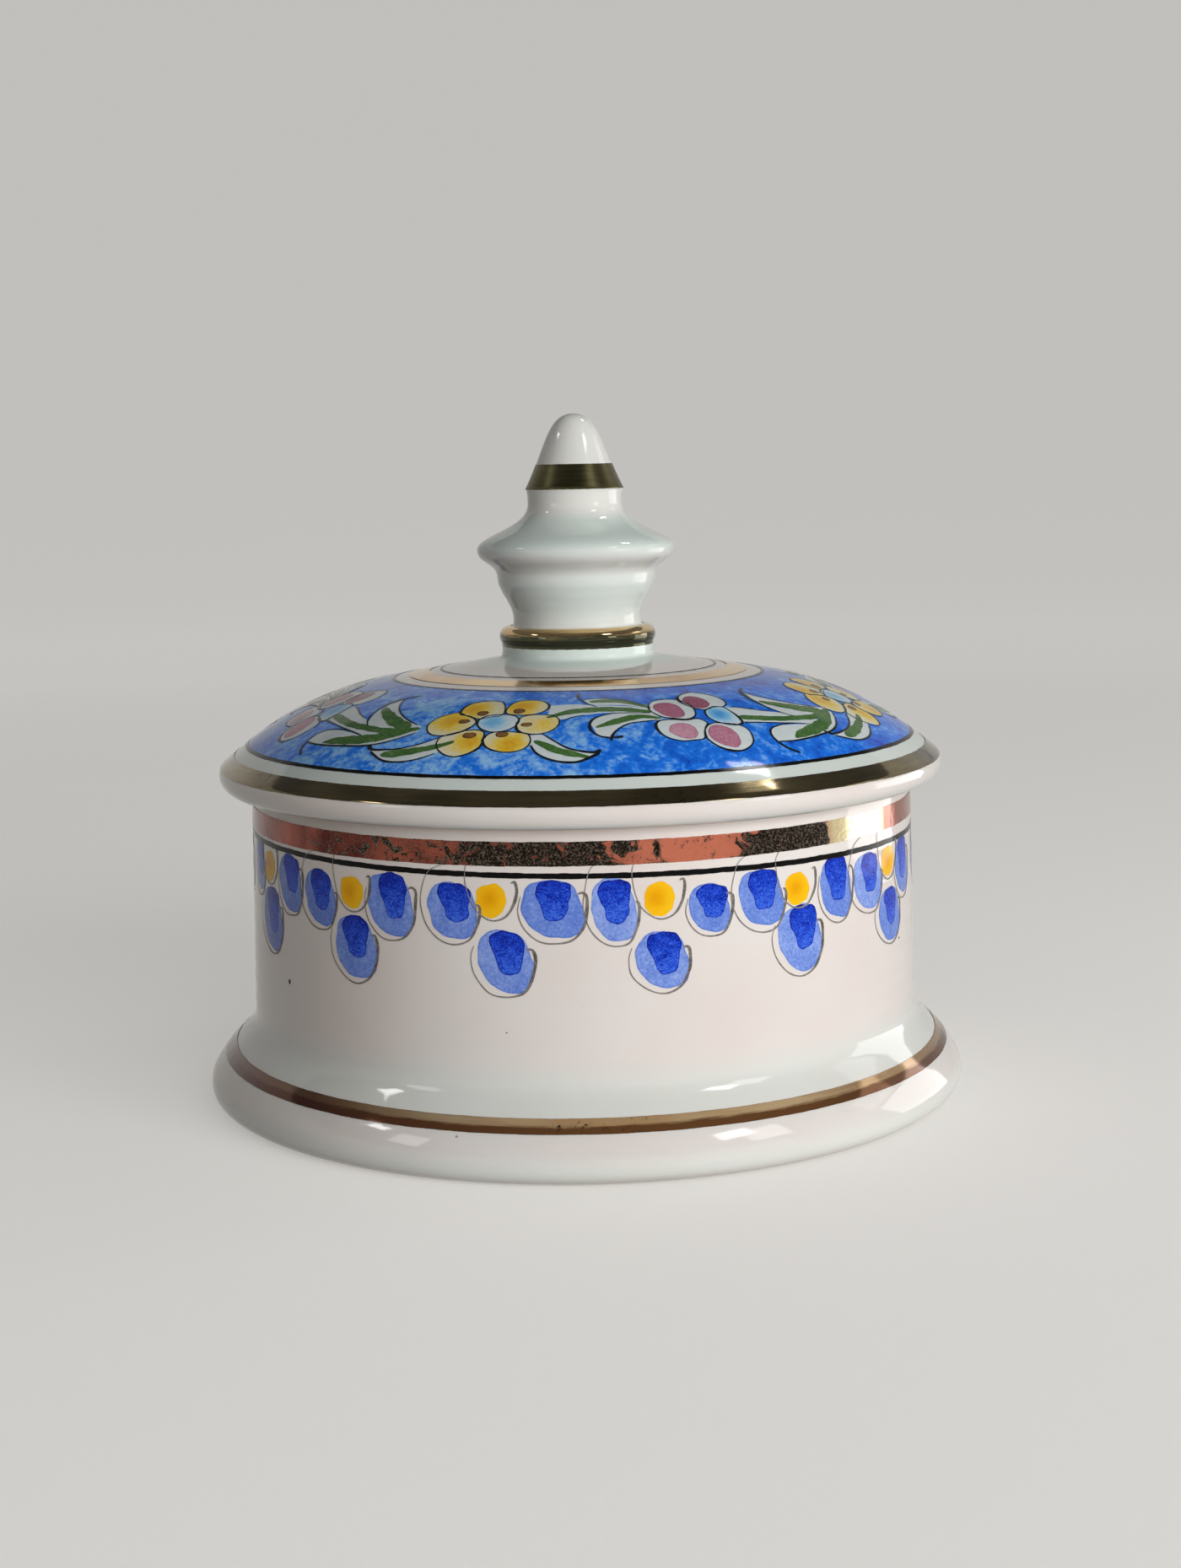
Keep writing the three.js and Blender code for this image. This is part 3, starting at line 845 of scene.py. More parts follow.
    def lay(self, name, lift, finish):
        """Lays all the touches as one skin, with the pigment that each point holds."""
        marks = np.concatenate(self.marks)
        return skin(
            name, self.side, np.concatenate(self.degrees), self.run_of(marks), self.faces,
            lift + np.concatenate(self.over), {"pigment": np.concatenate(self.pigment)}, finish)


def flowing(before, start, end, after, t):
    """Points of a curve from start to end, at shares t, that flows on from before and into after."""
    return 0.5 * (
        2 * start + (end - before) * t + (2 * before - 5 * start + 4 * end - after) * t ** 2
        + (3 * start - 3 * end + after - before) * t ** 3)


def smooth(path, reach_of):
    """A flowing line through points of angle, mark and width, with a point about every 0.3 mm."""
    knots = np.array([path[0], *path, path[-1]], float)
    pieces = []
    for before, start, end, after in zip(knots, knots[1:], knots[2:], knots[3:]):
        reach = float(reach_of((start[1] + end[1]) / 2))
        span = math.hypot(math.radians(end[0] - start[0]) * reach, end[1] - start[1])
        t = np.linspace(0, 1, max(3, math.ceil(span / 0.3)) + 1)[:-1, None]
        pieces.append(flowing(before, start, end, after, t))
    return np.concatenate([*pieces, knots[-1:]]).T


def brushed(name, colours, grain_mm, contrast, cloud_mm, stretch=(1, 1, 1), crazed=0.0):
    """Painted colour under clear glaze: pale where the pigment is thin, deep where it gathers.

    Crazed says how dark the net of drying lines is that thick pigment draws.
    """
    finish = Finish(name)
    place = finish.place(stretch)
    grain = finish.noise(grain_mm, detail=3.0, roughness=0.65, place=place)
    cloud = finish.noise(cloud_mm, detail=2.0, place=place)
    load = finish.maths("MULTIPLY_ADD", finish.off_middle(grain), contrast * 2.2, finish.mark("pigment"))
    load = finish.maths("MULTIPLY_ADD", finish.off_middle(cloud), contrast, load)
    if crazed:
        net = finish.noise(0.75, detail=1.5, distortion=0.8, place=place)
        line = finish.fitted(finish.maths("ABSOLUTE", finish.off_middle(net)), 0.01, 0.05, crazed, 0.0)
        load = finish.maths("ADD", load, line)
    pale, middle, deep = colours
    finish.set(
        Base_Color=finish.ramp(load, (0.0, pale), (0.5, middle), (1.0, deep)),
        Roughness=PAINT_ROUGHNESS, Specular_IOR_Level=PAINT_SHINE, Normal=glaze_relief(finish))
    return finish


def run_of_height(marks):
    """Runs on the jar's outside at these heights."""
    return np.interp(marks, jar_side.height, jar_side.run)


def wall_paint():
    """A colour for the wall, whose radius hardly changes behind the frieze."""
    return Paint(jar_side, run_of_height, lambda marks: FRIEZE_MIDDLE_RADIUS + 0 * np.asarray(marks), 1)


def loop(degrees, mark, half_width, half_length, form, chance):
    """A pen loop round a dab, from its form in parts of the dab's half sizes."""
    return [
        (degrees + math.degrees(x * half_width * chance.uniform(0.98, 1.03) / FRIEZE_MIDDLE_RADIUS),
         mark + y * half_length * chance.uniform(0.98, 1.03), width * PEN_PRESS) for x, y, width in form]


washes, hearts, dots, pen = [wall_paint() for _ in range(4)]
chance = random.Random(4)
groups = list(FRONT_GROUPS)
for number in range(len(FRONT_GROUPS), FRIEZE_GROUPS):
    pattern = FRONT_GROUPS[(number * 5 + 1) % len(FRONT_GROUPS)]
    shift = FRONT_GROUPS[0][0][0] + number * 360 / FRIEZE_GROUPS - pattern[0][0] + chance.uniform(-0.8, 0.8)
    groups.append(tuple(
        (item[0] + shift + chance.uniform(-0.4, 0.4), item[1] + chance.uniform(-0.3, 0.3), *item[2:])
        for item in pattern))
for dot, left, right_petal, hanging in groups:
    for petal, form in ((left, LEFT_LOOP), (right_petal, RIGHT_LOOP), (hanging, HANGING_LOOP)):
        angle, mark, width, length = petal
        washes.shape(
            *petal, PETAL_SHAPE, chance, tone=0.42 + chance.uniform(-0.12, 0.12), pool=0.25, fade=-0.05,
            pool_width=0.25)
        heart_length = length * chance.uniform(0.66, 0.74)
        hearts.shape(
            angle + chance.uniform(-0.1, 0.5), mark + (length - heart_length) / 2 - 0.1,
            min(HEART_WIDTH * chance.uniform(0.94, 1.04), width * 0.74), heart_length, HEART_SHAPE, chance,
            tone=0.4, pool=0.75, rough=0.035, fade=0.26, pool_width=0.2)
        ring = loop(angle, mark, width / 2, length / 2, form, chance)
        pen.stroke(ring, chance.randrange(1000), tone=0.25, press=1.0)
    dots.shape(
        *dot, DOT_WIDTH, DOT_WIDTH * 1.04, DOT_SHAPE, chance, tone=0.1, pool=0.12, rough=0.03,
        drop=(dot[0] + chance.uniform(-0.7, 0.0), dot[1] + 0.2, 1.5, 0.6))
    ring = loop(*dot, DOT_WIDTH / 2, DOT_WIDTH / 2, DOT_LOOP, chance)
    pen.stroke(ring, chance.randrange(1000), tone=0.25, press=1.0)

washes.lay("frieze_petal_washes", WASH_LIFT, brushed("petal_wash", PETAL_WASH, 0.4, 0.5, 2.6))
hearts.lay("frieze_petal_hearts", HEART_LIFT, brushed(
    "petal_heart", PETAL_HEART, 0.3, 0.8, 1.8, stretch=(1, 1, 1.5), crazed=0.5))
dots.lay("frieze_dots", DOT_LIFT, brushed("dot_yellow", DOT_YELLOW, 0.5, 0.12, 1.5))
pen.lay("frieze_pen_loops", PEN_LIFT, brushed("pen_grey", PEN_GREY, 0.3, 0.4, 1.5))

# Kiln specks that fell on the wet glaze, as angle, height, width and length
WALL_SPECKS = [
    (-56.6, 22.9, 0.8, 0.75), (-12.1, 20.1, 0.22, 0.2), (65.1, 26.1, 0.5, 0.35), (128, 24.0, 0.6, 0.5)]
specks = wall_paint()
for speck in WALL_SPECKS:
    specks.shape(*speck, DOT_SHAPE, chance, tone=0.4, pool=0.3, rough=0.12)
specks.lay("kiln_specks", DOT_LIFT, brushed("kiln_speck", SPECK_DARK, 0.3, 0.4, 0.8))


def line_finish(name):
    """Black banding colour, solid in the middle of the line and dry at its edges."""
    finish = Finish(name)
    grain = finish.noise(0.35, detail=3.0, roughness=0.7)
    dry = finish.fitted(finish.maths("MULTIPLY_ADD", grain, 0.8, finish.mark("edge")), 0.7, 1.5)
    pale, middle, deep = LINE_BLACK
    finish.set(
        Base_Color=finish.ramp(dry, (0.0, deep), (0.5, middle), (1.0, pale)), Roughness=0.13,
        Specular_IOR_Level=PAINT_SHINE, Normal=glaze_relief(finish))
    return finish


line_run = jar_side.run_at(WALL_RIM_RADIUS, FRIEZE_LINE_HEIGHT)
band(
    "frieze_line", jar_side, line_run - FRIEZE_LINE_WIDTH / 2, line_run + FRIEZE_LINE_WIDTH / 2,
    line_finish("banding_black"), FRIEZE_LINE_LIFT, ragged=0.035, seed=31, drift=FRIEZE_LINE_DRIFT)


# Lid
# A thrown lid with a rolled edge, a flat seat and a flange that drops into the mouth. Its crown
# carries a short collar with a hole, so that steam leaves the hollow knob in the kiln.
FLANGE_CLEARANCE = 1.0
FLANGE_THICKNESS = 3.2
FLANGE_DEPTH = 4.0
FLANGE_ROUNDING = 1.2
LID_RADIUS = 57.0
LID_SEAT_RADIUS = 54.8
LID_EDGE_HEIGHT = 2.5
LID_EDGE_TOP_ROUNDING = 1.7
DOME_FOOT_RADIUS = 53.5
DOME_CURVE_RADIUS = 48.0
DOME_FOOT_SLOPE = 38.7
CROWN_SLOPE = 9.5
LID_THICKNESS = 4.5
COLLAR_RADIUS = 11.95
COLLAR_HEIGHT = 21.0
COLLAR_FILLET = 1.6
VENT_RADIUS = 4.0

foot_slope, crown_slope = math.radians(DOME_FOOT_SLOPE), math.radians(CROWN_SLOPE)
flange_outer = MOUTH_RADIUS - FLANGE_CLEARANCE
flange_inner = flange_outer - FLANGE_THICKNESS
flange_round_height = FLANGE_ROUNDING - FLANGE_DEPTH
upper_edge = arc(
    LID_RADIUS - LID_EDGE_TOP_ROUNDING, LID_EDGE_HEIGHT, LID_EDGE_TOP_ROUNDING, LID_EDGE_TOP_ROUNDING,
    0, 90 - DOME_FOOT_SLOPE, 10)
dome_foot_height = upper_edge[-1][1] + (upper_edge[-1][0] - DOME_FOOT_RADIUS) * math.tan(foot_slope)
dome_x = DOME_FOOT_RADIUS - DOME_CURVE_RADIUS * math.sin(foot_slope)
dome_z = dome_foot_height - DOME_CURVE_RADIUS * math.cos(foot_slope)
outer_dome = arc(
    dome_x, dome_z, DOME_CURVE_RADIUS, DOME_CURVE_RADIUS, 90 - DOME_FOOT_SLOPE, 90 - CROWN_SLOPE, 40)
inner_curve = DOME_CURVE_RADIUS - LID_THICKNESS
inner_start = math.degrees(math.acos((flange_inner - dome_x) / inner_curve))
inner_dome = arc(dome_x, dome_z, inner_curve, inner_curve, 90 - CROWN_SLOPE, inner_start, 36)


def crown_height(radius):
    """Height of the nearly flat crown at a radius."""
    return outer_dome[-1][1] + (outer_dome[-1][0] - radius) * math.tan(crown_slope)


fillet_foot = COLLAR_RADIUS + COLLAR_FILLET
fillet_base = (COLLAR_RADIUS, crown_height(COLLAR_RADIUS))
lid_outside = [
    *arc(LID_SEAT_RADIUS, LID_EDGE_HEIGHT, LID_RADIUS - LID_SEAT_RADIUS, LID_EDGE_HEIGHT, -90, 0, 14),
    *upper_edge,
    *outer_dome,
    *sweep(
        (fillet_foot, crown_height(fillet_foot)), fillet_base, fillet_base,
        (COLLAR_RADIUS, fillet_base[1] + COLLAR_FILLET), 10),
    (COLLAR_RADIUS, COLLAR_HEIGHT),
]
lid_profile = [
    *arc(flange_inner + FLANGE_ROUNDING, flange_round_height, FLANGE_ROUNDING, FLANGE_ROUNDING, 180, 270, 6),
    *arc(flange_outer - FLANGE_ROUNDING, flange_round_height, FLANGE_ROUNDING, FLANGE_ROUNDING, 270, 360, 6),
    (flange_outer, 0),
    *lid_outside,
    (VENT_RADIUS, COLLAR_HEIGHT),
    (VENT_RADIUS, inner_dome[0][1] + (inner_dome[0][0] - VENT_RADIUS) * math.tan(crown_slope)),
    *inner_dome,
    (flange_inner, flange_round_height),
]


def thrown_lid(turns, height):
    """How far the lid strays from true. The collar stays true, because the knob is fitted to it."""
    return OVAL_STRAY * np.cos(2 * turns + 0.6) * np.clip((COLLAR_HEIGHT - 3 - height) / 6, 0, 1)


lid = turned(
    "lid_shell", [(r, z + JAR_HEIGHT) for r, z in filled(lid_profile, JAR_POINT_GAP)], JAR_SEGMENTS,
    lambda turns, height: thrown_lid(turns, height - JAR_HEIGHT))
crisp(lid)
radius, height = where(lid)
on_seat = between(radius, flange_outer + 0.4, LID_SEAT_RADIUS - 0.6, 0.5) * (abs(height - JAR_HEIGHT) < 0.1)
carry(lid, "bare", on_seat)
at_collar = between(radius, COLLAR_RADIUS - 2, COLLAR_RADIUS + 4, 3)
on_white_band = between(radius, 51, 56, 2)
carry(lid, "thick", at_collar + 0.85 * on_white_band)
lid.data.materials.append(white_glaze("lid_white_glaze").material)
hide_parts("lid")
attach(lid, "lid")


# Gilding of the lid
# The rolled edge and the crown each carry a ring of gold lustre, brushed on while the lid turned on
# a wheel, dark at the edge and bright on the crown. A hair line of black runs inside the crown's.
EDGE_GOLD_OUTER = 56.75
EDGE_GOLD_INNER = 54.5
CROWN_GOLD_OUTER = 26.75
CROWN_GOLD_INNER = 23.5
CROWN_LINE_RADIUS = 21.7
CROWN_LINE_WIDTH = 0.35
LID_LINE_LIFT = 0.05
EDGE_GOLD = ("#8f8160", "#665a42")
CROWN_GOLD = ("#f0cf98", "#cfa46c")

lid_side = Side(lid_outside, thrown_lid, "lid", "lid_glaze", JAR_HEIGHT)


def run_of_radius(marks):
    """Runs on the lid's upper side, from its widest point in to the collar."""
    upper = lid_side.run >= lid_side.run_at(LID_RADIUS, LID_EDGE_HEIGHT)
    return np.interp(-np.asarray(marks), -lid_side.radius[upper], lid_side.run[upper])


def lid_ring(name, outer, inner, finish, lift, **given):
    """A ring of paint on the lid between two radii."""
    return band(name, lid_side, run_of_radius(outer), run_of_radius(inner), finish, lift, **given)


def lid_line(name, radius, width, finish, **given):
    """A thin ring of banding colour on the lid, round a radius."""
    return lid_ring(name, radius + width / 2, radius - width / 2, line_finish(finish), LID_LINE_LIFT, **given)


edge_lustre = lustre("edge_lustre", EDGE_GOLD, wear=0.15)
lid_ring("lid_gilt_edge", EDGE_GOLD_OUTER, EDGE_GOLD_INNER, edge_lustre, GOLD_LIFT, ragged=0.02, seed=41)
crown_lustre = lustre("crown_lustre", CROWN_GOLD)
lid_ring("lid_gilt_crown", CROWN_GOLD_OUTER, CROWN_GOLD_INNER, crown_lustre, GOLD_LIFT, ragged=0.02, seed=51)
lid_line(
    "lid_crown_line", CROWN_LINE_RADIUS, CROWN_LINE_WIDTH, "crown_line_black", ragged=0.04, seed=55, rows=3)


# Cobalt ground of the lid
# A wide ring washed in cobalt between two black lines. The flowers and leaves were drawn first and
# the wash was brushed round them, so it is cloudy, with short strokes and darker overlaps.
GROUND_OUTER = 52.5
GROUND_INNER = 29.2
GROUND_LIFT = 0.02
GROUND_LINE_WIDTH = 0.52
COBALT = ("#92c8f6", "#1f7cee", "#0c3cb6")

# How much more or less colour the brush left, at angles round the lid
GROUND_LOAD = [
    (-180, 0.02), (-110, 0.06), (-70, 0.02), (-35, -0.16), (-10, -0.08), (15, 0.1), (50, 0.12),
    (110, -0.04)]


def cobalt_ground():
    """Cobalt brushed out unevenly: cloudy strokes, dapple, and dark lines where a stroke dried."""
    finish = Finish("cobalt_ground")
    strokes = finish.noise(5.0, detail=3.0, roughness=0.6, distortion=1.5)
    dapple = finish.noise(0.9, detail=4.0, roughness=0.75, distortion=0.4)
    tide = finish.maths("ABSOLUTE", finish.off_middle(finish.noise(3.2, detail=2.0, distortion=0.8)))
    load = finish.maths("MULTIPLY_ADD", strokes, 1.45, dapple)
    load = finish.maths("SUBTRACT", load, finish.fitted(tide, 0.0, 0.05, 0.0, 0.12))
    load = finish.fitted(finish.maths("ADD", load, finish.mark("load")), 0.74, 1.64)
    pale, middle, deep = COBALT
    finish.set(
        Base_Color=finish.ramp(load, (0.0, pale), (0.42, middle), (1.0, deep)),
        Roughness=PAINT_ROUGHNESS, Specular_IOR_Level=PAINT_SHINE, Normal=glaze_relief(finish))
    return finish


ground = lid_ring(
    "lid_cobalt_ground", GROUND_OUTER, GROUND_INNER, cobalt_ground(), GROUND_LIFT,
    ragged=0.04, seed=61, columns=720, rows=48)
radius, _ = where(ground)
deeper_inside = 0.16 * between(radius, 28, 33, 5)
deeper_outside = 0.06 * between(radius, 50.5, 53, 2)
carry(ground, "load", deeper_inside + deeper_outside - 0.06 + around(GROUND_LOAD, ground))
for name, mark, seed in (("lid_line_outer", GROUND_OUTER, 71), ("lid_line_inner", GROUND_INNER, 75)):
    lid_line(name, mark, GROUND_LINE_WIDTH, name + "_black", ragged=0.03, seed=seed, rows=5)


# Flowers of the lid
# Pink and yellow flowers take turns round the ring. Each petal is left white out of the cobalt,
# filled with one loaded brush and ringed with a black line that swells where the pen was pressed.
PINK_FLOWERS = (29.0, 119.0, 208.5, -62.5)
YELLOW_FLOWERS = (-15.8, 72.0, 163.0, 253.5)
RESERVE_WHITE = ("#dfe6e6", "#d0dadb", "#bfcbcd")
PETAL_YELLOW = ("#dde2d6", "#edcd4e", "#e2a61c")
PETAL_PINK = ("#cfa0b0", "#b4728a", "#93526a")
HEART_BLUE = ("#dfe8e6", "#86c4ea", "#4a9be0")
SEED_BROWN = ("#9a7440", "#5a3820", "#321c10")
OUTLINE_DARK = ("#3a4048", "#1a2028", "#0e1218")
OUTLINE_PRESS = 0.8
PRESS_SPREAD = 1.7
PETAL_LIFT = 0.046
FLOWER_HEART_LIFT = 0.062
SEED_LIFT = 0.078
OUTLINE_LIFT = 0.08

# Petals of the yellow flower at the front, in angle and radius: the outline, where the pen was
# pressed, and where the colour was dropped with its spread and strength
YELLOW_PETALS = [
    ([(-26.4, 37.2), (-25.7, 35.7), (-24.0, 34.8), (-22.0, 34.4), (-19.9, 34.4), (-18.3, 34.9),
      (-17.1, 36.1), (-16.3, 37.7), (-16.2, 39.4), (-18.4, 40.0), (-20.6, 40.6), (-23.2, 39.8),
      (-25.6, 39.3)], (-26.2, 38.0), (-23.6, 37.6, 2.4, 0.85)),
    ([(-16.0, 37.6), (-15.9, 36.2), (-15.2, 34.9), (-13.8, 34.1), (-12.0, 33.9), (-10.0, 34.0),
      (-8.2, 34.6), (-7.0, 35.6), (-6.7, 36.9), (-7.4, 38.0), (-9.0, 38.9), (-11.2, 39.3), (-13.6, 39.2),
      (-15.4, 38.8)], (-6.8, 36.4), (-12.8, 36.3, 2.5, 0.9)),
    ([(-12.2, 42.2), (-12.0, 40.2), (-10.6, 39.4), (-8.6, 39.2), (-6.4, 39.3), (-4.7, 39.9), (-3.9, 41.2),
      (-4.3, 42.7), (-5.6, 43.8), (-7.6, 44.4), (-9.6, 44.3), (-11.4, 43.6)], (-11.8, 43.2),
     (-6.6, 42.0, 2.6, 0.4)),
    ([(-17.3, 45.7), (-16.8, 44.5), (-15.4, 43.9), (-13.2, 43.8), (-11.4, 44.0), (-9.4, 44.4),
      (-8.6, 46.0), (-9.2, 47.3), (-10.6, 48.0), (-12.6, 48.2), (-14.8, 47.8), (-16.4, 47.0)],
     (-17.3, 46.2), (-12.2, 46.6, 2.2, 0.9)),
    ([(-25.5, 45.3), (-23.8, 44.5), (-21.8, 43.8), (-19.6, 43.5), (-17.8, 44.0), (-17.3, 45.6),
      (-17.2, 47.2), (-18.6, 48.5), (-20.8, 49.2), (-23.0, 48.8), (-24.7, 47.8), (-25.6, 46.6)],
     (-17.4, 47.6), (-19.6, 46.2, 2.2, 0.8)),
    ([(-30.4, 42.1), (-29.7, 40.6), (-28.0, 39.4), (-26.2, 38.9), (-24.0, 39.7), (-21.6, 40.6),
      (-20.6, 41.8), (-21.6, 43.5), (-23.8, 44.7), (-26.2, 45.1), (-28.4, 44.7), (-30.0, 43.4)],
     (-22.2, 43.6), (-26.2, 41.2, 2.5, 0.85)),
]
YELLOW_HEART = [
    (-20.4, 40.9), (-19.4, 39.8), (-17.6, 39.3), (-15.4, 39.2), (-13.3, 39.6), (-12.1, 40.7),
    (-12.1, 42.0), (-13.0, 43.1), (-14.6, 43.8), (-16.6, 43.9), (-18.6, 43.3), (-20.0, 42.2)]
YELLOW_HEART_PRESS = (-20.4, 40.8)
YELLOW_HEART_DROP = (-17.2, 41.3, 1.9, 0.62)
YELLOW_SEEDS = [
    (-20.7, 38.9, 1.7, 1.5), (-13.0, 38.0, 1.75, 1.6), (-10.2, 42.0, 1.6, 1.1), (-14.2, 44.5, 1.8, 1.3),
    (-20.2, 44.8, 2.1, 1.35), (-23.3, 41.4, 1.7, 1.2)]

# Petals of the pink flower at the front, likewise, but each with the outline of its pink
PINK_PETALS = [
    ([(15.0, 38.6), (15.5, 37.1), (16.8, 35.9), (18.8, 35.3), (21.2, 35.2), (23.4, 35.7), (24.8, 37.4),
      (24.8, 39.2), (23.6, 41.2), (21.2, 42.0), (18.6, 41.5), (16.8, 41.0), (15.6, 39.9)], (19.6, 41.7),
     [(16.1, 38.3), (16.8, 37.0), (18.4, 36.5), (20.4, 36.5), (21.9, 37.5), (22.2, 39.2), (21.6, 40.7),
      (20.2, 41.3), (18.4, 41.0), (16.9, 40.0)], 0.62),
    ([(14.3, 43.8), (14.6, 42.7), (15.8, 41.9), (18.2, 41.8), (21.0, 42.2), (23.6, 42.0), (24.8, 43.2),
      (23.6, 44.4), (22.7, 45.6), (22.0, 46.7), (20.0, 46.9), (17.8, 46.9), (15.8, 46.2), (14.7, 45.1)],
     (14.5, 43.6), [(16.5, 44.8), (17.0, 43.5), (18.6, 42.8), (20.4, 43.0), (21.6, 44.0), (21.4, 45.6),
      (20.1, 46.5), (18.0, 46.2)], 0.2),
    ([(23.5, 36.4), (24.0, 35.0), (25.4, 34.0), (27.4, 33.3), (29.6, 33.0), (31.6, 33.6), (33.4, 34.8),
      (34.4, 36.4), (33.9, 38.2), (32.0, 39.2), (29.8, 38.9), (28.2, 39.5), (26.6, 39.6), (25.2, 38.9),
      (24.1, 37.8)], (23.8, 35.6), [(24.2, 36.6), (25.3, 35.2), (27.2, 34.5), (29.0, 34.9), (30.1, 36.3),
      (29.9, 37.8), (28.4, 38.8), (26.6, 39.1), (25.0, 38.2)], 0.85),
    ([(22.5, 46.6), (23.1, 45.0), (24.4, 43.9), (26.2, 43.4), (28.2, 43.7), (30.4, 44.2), (31.6, 45.2),
      (31.5, 46.6), (30.6, 48.1), (29.0, 49.1), (27.0, 49.6), (25.0, 49.3), (23.4, 48.3)], (25.0, 49.4),
     [(23.3, 46.2), (24.0, 44.7), (25.4, 43.9), (27.0, 44.0), (28.4, 45.0), (28.7, 46.6), (28.0, 48.2),
      (26.6, 48.9), (25.0, 48.4), (23.8, 47.5)], 0.4),
]
PINK_HEART = [
    (26.0, 41.7), (26.5, 40.3), (27.8, 39.5), (29.6, 39.1), (31.6, 39.3), (32.3, 40.8), (32.4, 42.6),
    (31.9, 44.0), (30.4, 44.3), (28.6, 44.0), (26.9, 43.1)]
PINK_HEART_PRESS = (32.2, 43.2)
PINK_HEART_DROP = (29.0, 41.3, 1.75, 1.0)


def dome_paint():
    """A colour for the dome, where a mark is a radius."""
    return Paint(lid_side, run_of_radius, lambda marks: np.asarray(marks, float), -1)


def moved(points, turn, stretch=1.0, about=0.0):
    """Points of angle and radius, and what follows them, carried round the lid and spread out."""
    return [(about + (point[0] - about) * stretch + turn, *point[1:]) for point in points]


def pressed(outline, heavy, thin, thick, turn=0.0):
    """A closed pen line along an outline, heaviest at the place where the pen was pressed."""
    path = []
    for angle, mark in [*outline, outline[0], outline[1]]:
        away = math.hypot(math.radians(angle - heavy[0]) * mark, mark - heavy[1])
        width = thin + (thick - thin) * math.exp(-(away / PRESS_SPREAD) ** 2)
        path.append((angle + turn, mark, OUTLINE_PRESS * width))
    return path


reserves, yellows, pinks, blues, seeds, outlines, greens = [dome_paint() for _ in range(7)]
chance = random.Random(9)
for middle in YELLOW_FLOWERS:
    turn = middle - YELLOW_FLOWERS[0]
    for outline, heavy, drop in YELLOW_PETALS:
        yellows.patch(
            moved(outline, turn), chance.randrange(1000), tone=0.08, pool=0.0, rough=0.01,
            drop=moved([drop], turn)[0])
        outlines.stroke(pressed(outline, heavy, 0.26, 0.52, turn), chance.randrange(1000), tone=0.55)
    blues.patch(
        moved(YELLOW_HEART, turn), tone=0.05, pool=0.0, rough=0.01, drop=moved([YELLOW_HEART_DROP], turn)[0])
    outlines.stroke(pressed(YELLOW_HEART, YELLOW_HEART_PRESS, 0.28, 0.45, turn), 4, tone=0.6)
    for flower_seed in moved(YELLOW_SEEDS, turn):
        seeds.shape(*flower_seed, DOT_SHAPE, chance, tone=0.25, pool=0.5, pool_width=0.25)
for middle in PINK_FLOWERS:
    turn = middle - PINK_FLOWERS[0]
    for outline, heavy, pink, load in PINK_PETALS:
        reserves.patch(moved(outline, turn), chance.randrange(1000), tone=0.35, pool=0.0, rough=0.01)
        pinks.patch(
            moved(pink, turn), chance.randrange(1000), tone=load, pool=0.35, rough=0.015, pool_width=0.25)
        outlines.stroke(pressed(outline, heavy, 0.28, 0.56, turn), chance.randrange(1000), tone=0.55)
    blues.patch(
        moved(PINK_HEART, turn), tone=0.05, pool=0.0, rough=0.01, drop=moved([PINK_HEART_DROP], turn)[0])
    outlines.stroke(pressed(PINK_HEART, PINK_HEART_PRESS, 0.3, 0.6, turn), 9, tone=0.6)


# Leaf sprays of the lid
# Between the flowers run sprays of three long leaves, and two more grow from the outer side of each
# yellow flower. Each is left white and veined with one pull of green, and its pen lines are heaviest
# where the pen was set down.
LEAF_GREEN = ("#7e9868", "#466f35", "#2f4f27")
RESERVE_LIFT = 0.03
VEIN_LIFT = 0.062

# Leaves as two edges from stem to tip, veins and pen lines as angle, radius and width. The first
# set leaves the pink flower at the front towards the right, the second hangs on the yellow one.
PINK_SPRAY_LEAVES = [
    ([(32.2, 39.6), (34.6, 39.7), (38.0, 40.9), (41.0, 41.8), (44.0, 42.6), (50.0, 43.6)], [(32.0, 43.9),
      (36.0, 44.3), (40.0, 44.9), (44.0, 45.5), (47.0, 46.0), (50.0, 45.4)]),
    ([(57.5, 43.0), (55.0, 42.4), (52.0, 41.2), (49.0, 39.8), (46.4, 38.2), (44.8, 36.8), (43.6, 35.5)],
     [(57.5, 43.8), (53.0, 44.2), (49.0, 44.2), (46.0, 43.9), (43.8, 42.2), (42.4, 39.8), (42.3, 37.2)]),
    ([(57.5, 43.6), (54.0, 44.4), (50.0, 45.4), (47.0, 46.0), (43.0, 45.6), (39.0, 45.4), (36.8, 45.9),
      (35.5, 47.1)], [(57.6, 44.4), (55.8, 45.7), (53.0, 47.1), (50.0, 47.9), (46.0, 48.3), (42.0, 48.7),
      (38.4, 48.8), (35.5, 48.5)]),
]
PINK_SPRAY_VEINS = [
    [(31.6, 42.5, 0.5), (34.0, 42.7, 1.2), (38.0, 43.4, 1.25), (42.0, 44.0, 1.2), (46.0, 44.3, 1.2),
     (50.0, 44.6, 1.2), (54.0, 44.4, 1.4), (57.6, 43.6, 0.8)],
    [(42.9, 38.6, 0.4), (44.0, 39.4, 1.2), (46.0, 40.3, 1.6), (49.0, 41.6, 1.9), (52.0, 42.7, 2.0),
     (55.4, 43.4, 1.4)],
    [(39.8, 48.3, 0.3), (41.4, 47.8, 1.2), (44.0, 47.4, 1.7), (47.0, 47.0, 1.9), (50.0, 46.4, 1.9),
     (53.0, 45.5, 1.6), (56.6, 44.0, 0.8)],
]
